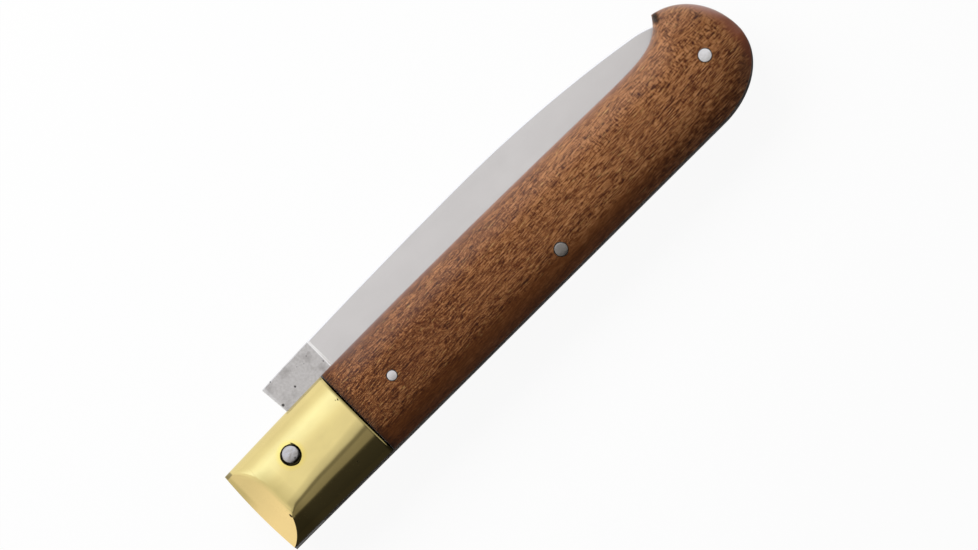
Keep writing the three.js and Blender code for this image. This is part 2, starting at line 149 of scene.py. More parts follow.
class KnifeBladeSizes(bpy.types.PropertyGroup):
    """Outline and grind of the blade"""

    tang_flat: length("Tang Flat", "Pivot to the flats that the spring holds", 0.0059)
    tang_lobe: length("Tang Lobe", "Pivot to the round end", 0.0065)
    shoulder_inner: length("Inner Shoulder", "Stop shoulder at the flat", 0.00495)
    shoulder_outer: length("Outer Shoulder", "Stop shoulder at the spine", 0.00435)
    kick_end: length("Kick End", "End of the lower flat", 0.0055)
    kick_ramp: length("Kick Ramp", "From there down to the edge line", 0.0015)
    ricasso_end: length("Ricasso End", "Where the grind starts", 0.0169)
    plunge: length("Plunge", "Length of the step into the grind", 0.00045)
    edge_depth: length("Edge Depth", "Pivot to the straight edge", 0.005)
    belly_start: length("Belly Start", "Where the edge begins to rise", 0.076)
    belly_power: number("Belly Power", "How late the edge rises", 2.2)
    tip_setback: length("Tip Setback", "From the end of the butt to the tip", 0.006)
    spine_crest_x: length("Spine Crest", "Where the spine is highest", 0.057)
    spine_crest: length("Spine Height", "Height of the spine there", 0.0137)
    fall_to_shoulder: length("Fall to Shoulder", "From there down to the shoulder", 0.0012)
    fall_to_tip: length("Fall to Tip", "From there down to the tip", 0.0048)
    tip_drop: length("Tip Drop", "Faster fall of the spine's last stretch", 0.0026)
    tip_drop_length: length("Tip Drop Length", "Length of that stretch", 0.0093)
    grind_step: length("Grind Step", "Depth of the grind at the spine", 0.00014)
    taper: length("Taper", "Length over which the blade thins to the tip", 0.027)
    tip_thickness: length("Tip Thickness", "Thickness of the spine at the tip", 0.0009)
    edge_bevel: length("Edge Bevel", "Width of the sharpened bevel", 0.0007)
    bevel_thickness: length("Bevel Thickness", "Thickness above that bevel", 0.0004)
    edge_thickness: length("Edge Thickness", "Thickness of the cutting edge", 0.00004)
    sharp_tip: length("Sharp Tip", "Pivot to where no edge is broken any more", 0.104)


class KnifeFittingSizes(bpy.types.PropertyGroup):
    """Backspring, pins and small edges"""

    spring_pin_x: length("Spring Pin", "Pivot to the spring pin, along the handle", 0.0612)
    spring_pin_y: length("Spring Pin Height", "Pivot to the spring pin, across it", -0.00829)
    butt_pin_x: length("Butt Pin", "Pivot to the butt pin, along the handle", 0.10465)
    butt_pin_y: length("Butt Pin Height", "Pivot to the butt pin, across it", -0.00175)
    rivet_x: length("Scale Rivet", "Pivot to the scale rivet, along the handle", 0.0232)
    rivet_y: length("Scale Rivet Height", "Pivot to the scale rivet, across it", -0.0029)
    pin_radius: length("Pin Radius", "Spring pin and butt pin", 0.0013)
    rivet_radius: length("Rivet Radius", "Scale rivets", 0.001)
    pivot_radius: length("Pivot Radius", "Head of the pivot pin", 0.0017)
    pivot_rim: length("Pivot Rim", "Depth of its rim below the handle's highest point", 0.00044)
    pivot_dome: length("Pivot Dome", "Rise of its hammered head", 0.00034)
    countersink: length("Countersink", "Radius of the recess round that head", 0.00202)
    countersink_x: length("Recess Along", "Pivot to the middle of that recess, along", -0.00006)
    countersink_y: length("Recess Across", "Pivot to the middle of that recess, across", -0.00018)
    recess_wobble: number("Recess Wobble", "How uneven its rim is", 0.03, subtype="FACTOR")
    countersink_depth: length("Countersink Depth", "Depth of that recess", 0.0007)
    clearance: length("Clearance", "All round every pin", 0.00004)
    head_gap: length("Head Gap", "Further gap round the pins of the scales", 0.00009)
    filed_depth: length("Filed Depth", "From the crown down to a pin's filed end", 0.00006)
    filed_slope: number("Filed Slope", "How far those ends follow the crown's slope", 0.75, subtype="FACTOR")
    pin_dome: length("Pin Dome", "Rise of those ends", 0.00006)
    spring_pin_dome: length("Spring Pin Dome", "Rise of the spring pin's ends", 0.0001)
    pin_dents: length("Pin Dents", "Unevenness of those ends", 0.00003)
    pivot_dents: length("Pivot Dents", "Unevenness of the pivot's hammered head", 0.0003)
    spring_gap: length("Spring Gap", "Between the spring and the tang", 0.0001)
    spring_play: length("Spring Play", "Between the spring and each liner", 0.00002)
    nose_gap: length("Nose Gap", "Between the spring's end and the open blade", 0.00015)
    nose_heel: length("Nose Heel", "End of the spring's bearing face", 0.0065)
    arm_start: length("Arm Start", "Where the spring's arm begins", 0.014)
    arm_height: length("Arm Height", "Depth of the arm", 0.0045)
    hump_half: length("Hump Half Length", "From the spring pin to the foot's start", 0.0055)
    hump_ramp: length("Hump Ramp", "Length of that foot", 0.009)
    edge_clearance: length("Edge Clearance", "Between the cutting edge and the spring", 0.0008)
    tail_wall: length("Tail Wall", "Above the butt pin", 0.0024)
    plate_bevel: length("Plate Bevel", "Broken edge of the liners and spring", 0.00007)
    blade_bevel: length("Blade Bevel", "Broken edge of the tang", 0.0002)


class KnifeColours(bpy.types.PropertyGroup):
    """Colours of the finishes"""

    wood_gold: colour("Wood Gold", "Lightest streaks", (0.46, 0.205, 0.078))
    wood_brown: colour("Wood Brown", "Main colour", (0.183, 0.056, 0.013))
    wood_red: colour("Wood Red", "Redder, darker lines", (0.085, 0.023, 0.006))
    wood_pore: colour("Wood Pore", "Pores", (0.030, 0.008, 0.003))
    wood_ray: colour("Wood Ray", "Short golden flecks", (0.62, 0.37, 0.13))
    # The rim's colours: handled wear, with painted shade towards the back and a painted sheen towards the
    # beak.
    wood_rim_wear_shade: colour("Low Rim Wear and Shade", "Handled rim, near the back", (0.24, 0.06, 0.024))
    wood_rim_wear_sheen: colour("Upper Rim Wear and Sheen", "Handled rim, near the beak", (0.36, 0.17, 0.13))
    brass: colour("Brass", "Polished brass", (0.83, 0.685, 0.29))
    brass_aged: colour("Aged Brass", "Where the polish has dulled", (0.62, 0.49, 0.22))
    # Painted shade: darker brass beside the facet and at the facet's upper front edge.
    brass_shaded: colour("Shaded Brass", "Beside the facet", (0.42, 0.335, 0.12))
    # Painted shade: a darker strip of brass along the joint.
    brass_joint_shade: colour("Brass at the Joint", "Strip along the joint", (0.25, 0.20, 0.075))
    brass_halo: colour("Brass Halo", "Round the pivot's head", (0.84, 0.66, 0.14))
    brass_corner: colour("Brass Corner", "Brown spot on the front corner", (0.16, 0.14, 0.08))
    # Painted reflection: the facet brighter near the back and darker near the mouth.
    facet_reflection_bright: colour("Bright Facet Reflection", "The facet near the back", (0.93, 0.69, 0.30))
    facet_reflection_dark: colour("Dark Facet Reflection", "The facet near the mouth", (0.68, 0.52, 0.22))
    blade: colour("Blade", "Ground face", (0.80, 0.77, 0.76))
    # Burnish on the steel's broken edges, also painted highlights on the plunge's edges.
    burnish_and_highlight: colour("Burnished", "Worn edges of the steel", (0.93, 0.92, 0.91))
    tang: colour("Tang", "Matte face of the ricasso", (0.54, 0.51, 0.49))
    stain: colour("Stain", "Stains of the ricasso", (0.30, 0.275, 0.26))
    # Painted shade: the spring and liners are made very dark to stand in for the shade along the back.
    spring: colour("Spring", "Darkened back of the spring and liners", (0.20, 0.21, 0.225))
    pin: colour("Pin", "Pins and rivets", (0.69, 0.68, 0.69))
    head: colour("Pivot Head", "Dulled head of the pivot pin", (0.42, 0.39, 0.39))
    # Dark dirt of joints and pits, also used for painted shade at the beak, beside the bolster, along low
    # edges and on the pivot's head.
    grime_and_shade: colour("Grime", "Dirt in the joints", (0.012, 0.010, 0.008))


class KnifeStageSettings(bpy.types.PropertyGroup):
    """Camera, light and floor"""

    turn: angle("Turn", "Of the handle from level, in the picture", 44.86)
    tilt: angle("Tilt", "How far the camera leans towards the back of the handle", 5)
    lens: number("Lens", "Focal length", 600, unit="CAMERA")
    picture_width: length("Picture Width", "Width of the scene that the picture spans", 0.1779)
    aim_x: length("Aim Along", "Pivot to the middle of the picture, along the handle", 0.0486)
    aim_y: length("Aim Across", "Pivot to the middle of the picture, across it", -0.0024)
    key_power: number("Key Power", "Soft light from the blade's side", 4.2, unit="POWER")
    key_width: length("Key Width", "Of that light, level and along the handle", 0.7)
    key_depth: length("Key Depth", "Of that light, the other way", 0.35)
    key_place: FloatVectorProperty(
        name="Key Place", description="Middle of that light", default=(-0.07, 0.45, 0.42),
        subtype="TRANSLATION", unit="LENGTH",
    )
    fill: number("Fill", "Light from all round", 0.2)
    floor_white: colour("Floor White", "Of the floor as the light falls on it", (0.96, 0.96, 0.96))
    floor_glow: number("Floor Glow", "Share of the floor that is plain white", 0.93, subtype="FACTOR")
    tent_radius: length("Tent Radius", "Of the tent that polished metal reflects", 0.7)
    mat: colour("Mat", "Black mat beside the back", (0.036, 0.033, 0.028))


# What the tent shows from the black side by the back of the handle, over the top, to the blade's side:
# degrees from upright, how bright it is there, and how much cooler than white
TENT = (
    (-90, 0.03, -0.6), (-42, 0.04, -0.6), (-38, 0.08, -0.6), (-35, 0.25, -0.6), (-21, 0.28, -0.5),
    (-18, 0.19, -0.5), (-14, 0.20, -0.4), (-10, 0.62, 0), (-6, 0.71, 0), (0, 0.78, 0), (4, 0.95, 0),
    (15, 1.06, 0.1), (28, 1.18, 0.6), (44, 1.26, 1), (54, 1.18, 0.6), (64, 1.04, 0.1), (76, 0.97, 0),
    (90, 0.95, 0),
)
COOL = (0, 0.09, 0.23)  # what one unit of coolness adds to red, green and blue

GROUPS = {
    "knife_handle": KnifeHandleSizes,
    "knife_blade": KnifeBladeSizes,
    "knife_fittings": KnifeFittingSizes,
    "knife_colours": KnifeColours,
    "knife_stage": KnifeStageSettings,
}


# Curves of the handle and blade


def oval_share(short_of_end, run):
    """Height of a quarter oval, as a share of its rise, at this distance short of its end."""
    return np.sqrt(np.clip(1 - (1 - short_of_end / run) ** 2, 0, 1))


def butt_point(size, turn):
    """A point of the butt's oval: turn is from its end, pi / 2 at the top and -pi / 2 at the back."""
    run = size.butt_top_run if turn > 0 else size.butt_back_run
    rise = size.butt_top_rise if turn > 0 else size.back_depth + size.butt_end_y
    return size.butt_reach - run * (1 - math.cos(turn)), size.butt_end_y + rise * math.sin(turn)


def top_edge(size, x):
    """Height of the handle's upper outline: the mouth, the throat's hollow, then the butt."""
    beak_x, beak_y = butt_point(size, size.beak_angle)

    def mouth(at):
        half = np.where(at < size.mouth_swell_centre, size.mouth_swell_front, size.mouth_swell_rear)
        share = (at - size.mouth_swell_centre) / half
        return size.mouth_height + size.mouth_swell * (1 - share**2)

    rise = beak_y - mouth(beak_x)
    hollow = mouth(x) + rise * np.exp(np.minimum(x - beak_x, 0) / size.throat_fade)
    oval = size.butt_end_y + size.butt_top_rise * oval_share(size.butt_reach - x, size.butt_top_run)
    return np.where(x <= beak_x, hollow, oval)


def back_edge(size, x):
    """Height of the handle's lower outline: the straight back, then the butt."""
    drop = size.back_depth + size.butt_end_y
    oval = size.butt_end_y - drop * oval_share(size.butt_reach - x, size.butt_back_run)
    return np.where(x <= size.butt_reach - size.butt_back_run, -size.back_depth, oval)


def joint_place(size):
    """x of the bolster's joint with the scale."""
    return size.bolster - size.front_reach


def crown_section(size, x):
    """Middle of the crown at x, its reach and land towards the top and the back, and its dome share."""
    top, back = top_edge(size, x), back_edge(size, x)
    lean = np.clip((size.lean_end - x) / size.lean_length, 0, 1)
    middle = (top + back) / 2 - size.crown_lean * lean**2 * (3 - 2 * lean)
    up, down = top - middle, middle - back
    joint = joint_place(size)
    waist = size.land_waist * np.exp(-(((x - joint) / size.waist_length) ** 2))
    land_up = np.minimum(size.crown_land / 2, up / 2)
    land_down = np.minimum(size.crown_land / 2, down / 2) * (1 - waist)
    share = np.clip(x - size.butt_reach + size.butt_dome, 0, None) / size.butt_dome
    dome = np.clip(1 - share**size.butt_dome_power, 0, 1) ** size.crown_power
    return middle, (up, land_up), (down, land_down), dome


def crown_across(size, x, y):
    """0 at the crown's edges and 1 on its land."""
    middle, (up, land_up), (down, land_down), _ = crown_section(size, x)
    above = y > middle
    reach, land = np.where(above, up, down), np.where(above, land_up, land_down)
    away = np.clip((np.abs(y - middle) - land) / np.maximum(reach - land, 1e-9), 0, 1)
    return np.sqrt(1 - away**2)


def crown_height(size, x, y):
    """Height of the crown above the middle of the blade."""
    dome = crown_section(size, x)[3]
    rise = (HANDLE_HALF - LINER_OUTER - size.crown_edge) * dome
    return LINER_OUTER + size.crown_edge + rise * crown_across(size, x, y) ** (2 * size.crown_power)


def handle_stations(size, start, mouth, throat, butt):
    """x of every section from start to the butt, closer together where the outline turns."""
    beak_x = butt_point(size, size.beak_angle)[0]
    turns = np.linspace(size.beak_angle, math.radians(2), butt)
    return np.concatenate([
        np.linspace(start, beak_x - size.throat, mouth)[:-1],
        np.linspace(beak_x - size.throat, beak_x, throat)[:-1],
        [butt_point(size, turn)[0] for turn in turns],
    ])


def spine_line(size, butt_reach, x):
    """Height of the blade's spine: it falls gently to the shoulder and faster to the tip."""
    tip = butt_reach - size.tip_setback
    to_shoulder = (size.spine_crest_x - x) / (size.spine_crest_x - size.shoulder_outer)
    to_tip = (x - size.spine_crest_x) / (tip - size.spine_crest_x)
    last = np.clip(x - tip + size.tip_drop_length, 0, None) / size.tip_drop_length
    towards_tip = size.fall_to_tip * to_tip**2
    fall = np.where(x < size.spine_crest_x, size.fall_to_shoulder * to_shoulder**2, towards_tip)
    return size.spine_crest - fall - size.tip_drop * last**2


def edge_line(size, butt_reach, x):
    """Height of the cutting edge: straight, then rising to the tip."""
    tip = butt_reach - size.tip_setback
    whole = spine_line(size, butt_reach, tip) + size.edge_depth
    share = np.clip(x - size.belly_start, 0, None) / (tip - size.belly_start)
    return whole * share**size.belly_power - size.edge_depth


# Meshes


def add_object(name, data):
    made = bpy.data.objects.new(name, data)
    bpy.context.scene.collection.objects.link(made)
    return made


def new_mesh(name, points, faces):
    """A mesh object at the origin, from points about the pivot."""
    mesh = bpy.data.meshes.new(name)
    mesh.from_pydata([tuple(p) for p in np.asarray(points, float) + np.array(PIVOT)], [], faces)
    return add_object(name, mesh)


def close_skin(piece):
    """Merges doubles and turns every face outwards."""
    skin = bmesh.new()
    skin.from_mesh(piece.data)
    bmesh.ops.remove_doubles(skin, verts=skin.verts, dist=DOUBLES)
    bmesh.ops.dissolve_degenerate(skin, edges=skin.edges, dist=DOUBLES)
    bmesh.ops.recalc_face_normals(skin, faces=skin.faces)
    skin.to_mesh(piece.data)
    skin.free()


def new_solid(name, points, faces):
    solid = new_mesh(name, points, faces)
    close_skin(solid)
    return solid


def prism(name, low, high):
    """A solid between two rings that have as many points."""
    count = len(low)
    ring = range(count)
    walls = [(i, (i + 1) % count, count + (i + 1) % count, count + i) for i in ring]
    return new_solid(name, [*low, *high], [tuple(ring), tuple(count + i for i in ring), *walls])


def plate(name, outline, low, high):
    """A flat plate between two heights."""
    return prism(name, *([(x, y, z) for x, y in outline] for z in (low, high)))


def bore(place, radius, low=-THROUGH, high=THROUGH, flare=0.0, wobble=0.0):
    """A round cutter. flare widens its upper end, and wobble makes its rim uneven."""
    turns = np.linspace(0, 2 * math.pi, 64, endpoint=False)
    uneven = 1 + wobble * (np.sin(3 * turns + 0.6) + 0.6 * np.sin(7 * turns))
    x, y = place
    return prism("cutter", *(
        [(x + reach * u * math.cos(t), y + reach * u * math.sin(t), z) for t, u in zip(turns, uneven)]
        for z, reach in ((low, radius), (high, radius + flare))
    ))


def pin_bores(*keys):
    """Cutters for these pins, with their clearance."""
    clearance = bpy.context.scene.knife_fittings.clearance
    pins = pin_places()
    return [bore(pins[key][0], pins[key][1] + clearance) for key in keys]


def settle(piece):
    """Turns a piece's modifiers into plain mesh."""
    graph = bpy.context.evaluated_depsgraph_get()
    done = bpy.data.meshes.new_from_object(piece.evaluated_get(graph))
    piece.modifiers.clear()
    old, piece.data = piece.data, done
    bpy.data.meshes.remove(old)


def break_edges(piece, width, limit="ANGLE"):
    """Bevels the edges that turn sharply, or those with a weight."""
    change = piece.modifiers.new("Broken edges", "BEVEL")
    change.width = width
    change.segments = 2
    change.limit_method = limit
    change.angle_limit = SHARP_TURN
    change.use_clamp_overlap = False
    settle(piece)


def cut_away(piece, *cutters):
    """Takes the cutters out of the piece, and then out of the scene."""
    for cutter in cutters:
        change = piece.modifiers.new("Cut", "BOOLEAN")
        change.object = cutter
        change.operation = "DIFFERENCE"
        change.solver = "EXACT"
        settle(piece)
        bpy.data.objects.remove(cutter)


def finish_piece(piece, body, nodes, material, crease=30):
    """Shades the piece, gives it its finish and puts it on its body in place of the plain solids.

    Edges that turn by crease degrees or more stay sharp.
    """
    piece.data.shade_smooth()
    piece.data.set_sharp_from_angle(angle=math.radians(crease))
    piece.data.materials.clear()
    piece.data.materials.append(material)
    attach(piece, body)
    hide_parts(*nodes)


def grid_skin(name, xs, ys, side):
    """A closed skin over a grid of places: a flat underside on the liner, and a top for the crown.

    Its points carry what the crown's tree reads: raised is 1 on top, across is the share of the way
    from the crown's edge to its land, and dome is how much of its height it keeps at the butt.
    """
    size = bpy.context.scene.knife_handle
    rows, columns = xs.shape
    flat = np.stack([xs.ravel(), ys.ravel(), np.full(xs.size, side * LINER_OUTER)], axis=1)
    under = rows * columns

    def at(row, column):
        return row * columns + column

    faces = []
    for r in range(rows - 1):
        for c in range(columns - 1):
            top = (at(r, c), at(r, c + 1), at(r + 1, c + 1), at(r + 1, c))
            faces += [top, tuple(under + i for i in reversed(top))]
    rim = [at(0, c) for c in range(columns)] + [at(r, columns - 1) for r in range(1, rows)]
    rim += [at(rows - 1, c) for c in range(columns - 2, -1, -1)] + [at(r, 0) for r in range(rows - 2, 0, -1)]
    faces += [(a, b, under + b, under + a) for a, b in zip(rim, rim[1:] + rim[:1])]

    piece = new_mesh(name, np.concatenate([flat, flat]), faces)
    values = {
        "raised": np.repeat([1.0, 0.0], under),
        "across": np.tile(crown_across(size, xs, ys).ravel(), 2),
        "dome": np.tile(crown_section(size, xs)[3].ravel(), 2),
    }
    for key, value in values.items():
        piece.data.attributes.new(key, "FLOAT", "POINT").data.foreach_set("value", value)
    return piece


# Node trees


class Steps:
    """Adds nodes to a tree one step after another and wires each input as it is given."""

    def __init__(self, tree):
        self.tree = tree

    def put(self, kind, values=(), out=0, **settings):
        """A new node's output. values are its inputs, in order or by name, each plain or another output."""
        node = self.tree.nodes.new(kind)
        for key, value in settings.items():
            setattr(node, key, value)
        for key, value in values.items() if isinstance(values, dict) else enumerate(values):
            if isinstance(value, bpy.types.NodeSocket):
                self.tree.links.new(value, node.inputs[key])
            elif value is not None:
                node.inputs[key].default_value = value
        return node.outputs[out] if node.outputs else node

    def math(self, operation, *values):
        return self.put("ShaderNodeMath", values, operation=operation)

    def chain(self, operation, total, *others):
        """The operation on the first two values, then on the result and each further value."""
        for other in others:
            total = self.math(operation, total, other)
        return total

    def plus(self, *values):
        return self.chain("ADD", *values)

    def times(self, *values):
        return self.chain("MULTIPLY", *values)

    def most(self, *values):
        return self.chain("MAXIMUM", *values)

    def minus(self, first, second):
        return self.math("SUBTRACT", first, second)

    def apart(self, first, second=0.0):
        """How far one value is from the other, either way."""
        return self.math("ABSOLUTE", self.minus(first, second))

    def vector(self, operation, *values, out=0):
        return self.put("ShaderNodeVectorMath", values, out=out, operation=operation)

    def split(self, vector):
        return self.put("ShaderNodeSeparateXYZ", (vector,)).node.outputs

    def fit(self, value, low, high, to_low=0.0, to_high=1.0, smooth=False):
        """The value moved from one range to another and held inside it."""
        return self.put(
            "ShaderNodeMapRange",
            {"Value": value, "From Min": low, "From Max": high, "To Min": to_low, "To Max": to_high},
            interpolation_type="SMOOTHSTEP" if smooth else "LINEAR",
        )


class Finish(Steps):
    """Steps of a shader."""

    def mix(self, share, *pair):
        """The first colour of the pair where share is 0, and the second where it is 1."""
        first, second = (one if isinstance(one, bpy.types.NodeSocket) else (*one, 1.0) for one in pair)
        return self.put("ShaderNodeMix", {0: share, 6: first, 7: second}, out=2, data_type="RGBA")

    def ramp(self, value, stops):
        """Colours along the value, from pairs of position and colour."""
        node = self.put("ShaderNodeValToRGB", (value,)).node
        elements = node.color_ramp.elements
        while len(elements) < len(stops):
            elements.new(1.0)
        for element, (position, shade) in zip(elements, stops):
            element.position = position
            element.color = (*shade, 1)
        return node.outputs["Color"]

    def stretched(self, vector, lengths, turn=0.0):
        """The place, in units of these lengths along x, y and z, turned about z."""
        turned = self.put("ShaderNodeMapping", {"Vector": vector, "Rotation": (0, 0, turn)})
        return self.vector("MULTIPLY", turned, tuple(1 / one for one in lengths))

    def noise(self, vector, lengths=None, detail=2.0, roughness=0.5):
        """Noise with features of these lengths, or of one unit."""
        place = self.stretched(vector, lengths) if lengths else vector
        values = {"Vector": place, "Scale": 1.0, "Detail": detail, "Roughness": roughness}
        return self.put("ShaderNodeTexNoise", values)


def bare_tree(owner):
    """The empty node tree of a material or world."""
    owner.use_nodes = True
    owner.node_tree.nodes.clear()
    return owner.node_tree


def built_once(name):
    """Builds a node tree when it is first asked for, and keeps it under this name."""

    def keep(build):
        return lambda: bpy.data.node_groups.get(name) or build(name)

    return keep


def new_effect(name, result, **numbers):
    """A shader node group that reads a vector and these numbers and puts out one value."""
    tree = bpy.data.node_groups.new(name, "ShaderNodeTree")
    tree.interface.new_socket("Vector", in_out="INPUT", socket_type="NodeSocketVector")
    for key, default in numbers.items():
        socket = tree.interface.new_socket(key, in_out="INPUT", socket_type="NodeSocketFloat")
        socket.default_value = default
    tree.interface.new_socket(result, in_out="OUTPUT", socket_type="NodeSocketFloat")
    return Finish(tree), tree.nodes.new("NodeGroupInput").outputs


def end_tree(steps, result):
    """Puts the result out and gives the tree back."""
    steps.put("NodeGroupOutput", (result,))
    return steps.tree


@built_once("Hairlines")
def hairlines_effect(name):
    """Fine hairlines: noise drawn out along one direction."""
    steps, given = new_effect(name, "Height", Detail=3.0)
    return end_tree(steps, steps.noise(given["Vector"], detail=given["Detail"], roughness=0.65))


@built_once("Pits")
def pits_effect(name):
    """Small scattered pits, in some cells of a cell pattern and of uneven size."""
    steps, given = new_effect(name, "Mask", Radius=0.2, Share=0.3)
    cells = steps.put("ShaderNodeTexVoronoi", {"Vector": given["Vector"], "Scale": 1.0}, out="Distance")
    chance = steps.put("ShaderNodeSeparateColor", (cells.node.outputs["Color"],)).node.outputs
    rough = steps.times(steps.noise(given["Vector"], (0.3, 0.3, 0.3)), 0.16)
    reach = steps.times(given["Radius"], steps.fit(chance["Green"], 0, 1, 0.5, 1.5))
    hole = steps.fit(steps.minus(steps.minus(steps.plus(rough, cells), 0.08), reach), -0.05, 0.02, 1, 0)
    chosen = steps.math("LESS_THAN", chance["Red"], given["Share"])
    return end_tree(steps, steps.times(hole, chosen))


@built_once("Smudges")
def smudges_effect(name):
    """Slow cloudy change from handling, from 0 to 1."""
    steps, given = new_effect(name, "Value")
    return end_tree(steps, steps.fit(steps.noise(given["Vector"], detail=4.0, roughness=0.55), 0.3, 0.7))


@built_once("Spot")
def spot_effect(name):
    """1 inside a circle about an upright axis, with an uneven edge."""
    steps, given = new_effect(name, "Mask", Radius=1.0, Soft=0.1)
    flat = steps.vector("MULTIPLY", given["Vector"], (1, 1, 0))
    away = steps.vector("LENGTH", flat, out="Value")
    uneven = steps.minus(steps.times(steps.noise(flat, (0.5, 0.5, 0.5)), 0.22), 0.11)
    inside = steps.minus(given["Radius"], steps.plus(away, uneven))
    return end_tree(steps, steps.fit(steps.math("DIVIDE", inside, given["Soft"]), 0, 1))


@built_once("Worn Edges")
def wear_effect(name):
    """1 where the surface turns away from flat, as a broken or rounded edge does."""
    steps, given = new_effect(name, "Mask", Start=0.05, Full=0.3)
    turned = steps.minus(1.0, steps.apart(steps.split(given["Vector"])["Z"]))
    return end_tree(steps, steps.fit(turned, given["Start"], given["Full"]))


class Surface(Finish):
    """A material: its place in millimetres about the pivot, and the shader that the steps end in."""

    def __init__(self, name):
        self.material = bpy.data.materials.new(name)
        super().__init__(bare_tree(self.material))
        place = self.put("ShaderNodeTexCoord", out="Object")
        self.place = self.vector("MULTIPLY", self.vector("SUBTRACT", place, tuple(PIVOT)), (MM, MM, MM))
        self.x, self.y, self.z = self.split(self.place)

    def effect(self, tree, vector, **values):
        return self.put("ShaderNodeGroup", {"Vector": vector, **values}, node_tree=tree)

    def smudges(self, *lengths):
        return self.effect(smudges_effect(), self.stretched(self.place, lengths))

    def hairlines(self, *lengths, degrees=0):
        return self.effect(hairlines_effect(), self.stretched(self.place, lengths, math.radians(degrees)))

    def pits(self, cell, radius, share):
        return self.effect(pits_effect(), self.stretched(self.place, (cell,) * 3), Radius=radius, Share=share)

    def spot(self, at, radius, soft, lengths=(1, 1), turn=0.0):
        """1 within an uneven round spot about this place in millimetres, drawn out to these lengths."""
        away = self.stretched(self.vector("SUBTRACT", self.place, (*at, 0)), (*lengths, 1), turn)
        return self.effect(spot_effect(), away, Radius=radius, Soft=soft)

    def normal(self, kind="Normal"):
        return self.put("ShaderNodeNewGeometry").node.outputs[kind]

    def bump(self, height, millimetres):
        return self.put("ShaderNodeBump", {"Strength": 1.0, "Distance": millimetres / MM, "Height": height})

    def close(self, colour, roughness, normal, **plain):
        """Ends the material in its shader and gives it back."""
        values = {"Base Color": colour, "Roughness": roughness, "Normal": normal, **plain}
        self.put("ShaderNodeOutputMaterial", (self.put("ShaderNodeBsdfPrincipled", values),))
        return self.material


def once(name, make):
    """The material of this name, made the first time that it is asked for."""
    return bpy.data.materials.get(name) or make(name, bpy.context.scene.knife_colours)


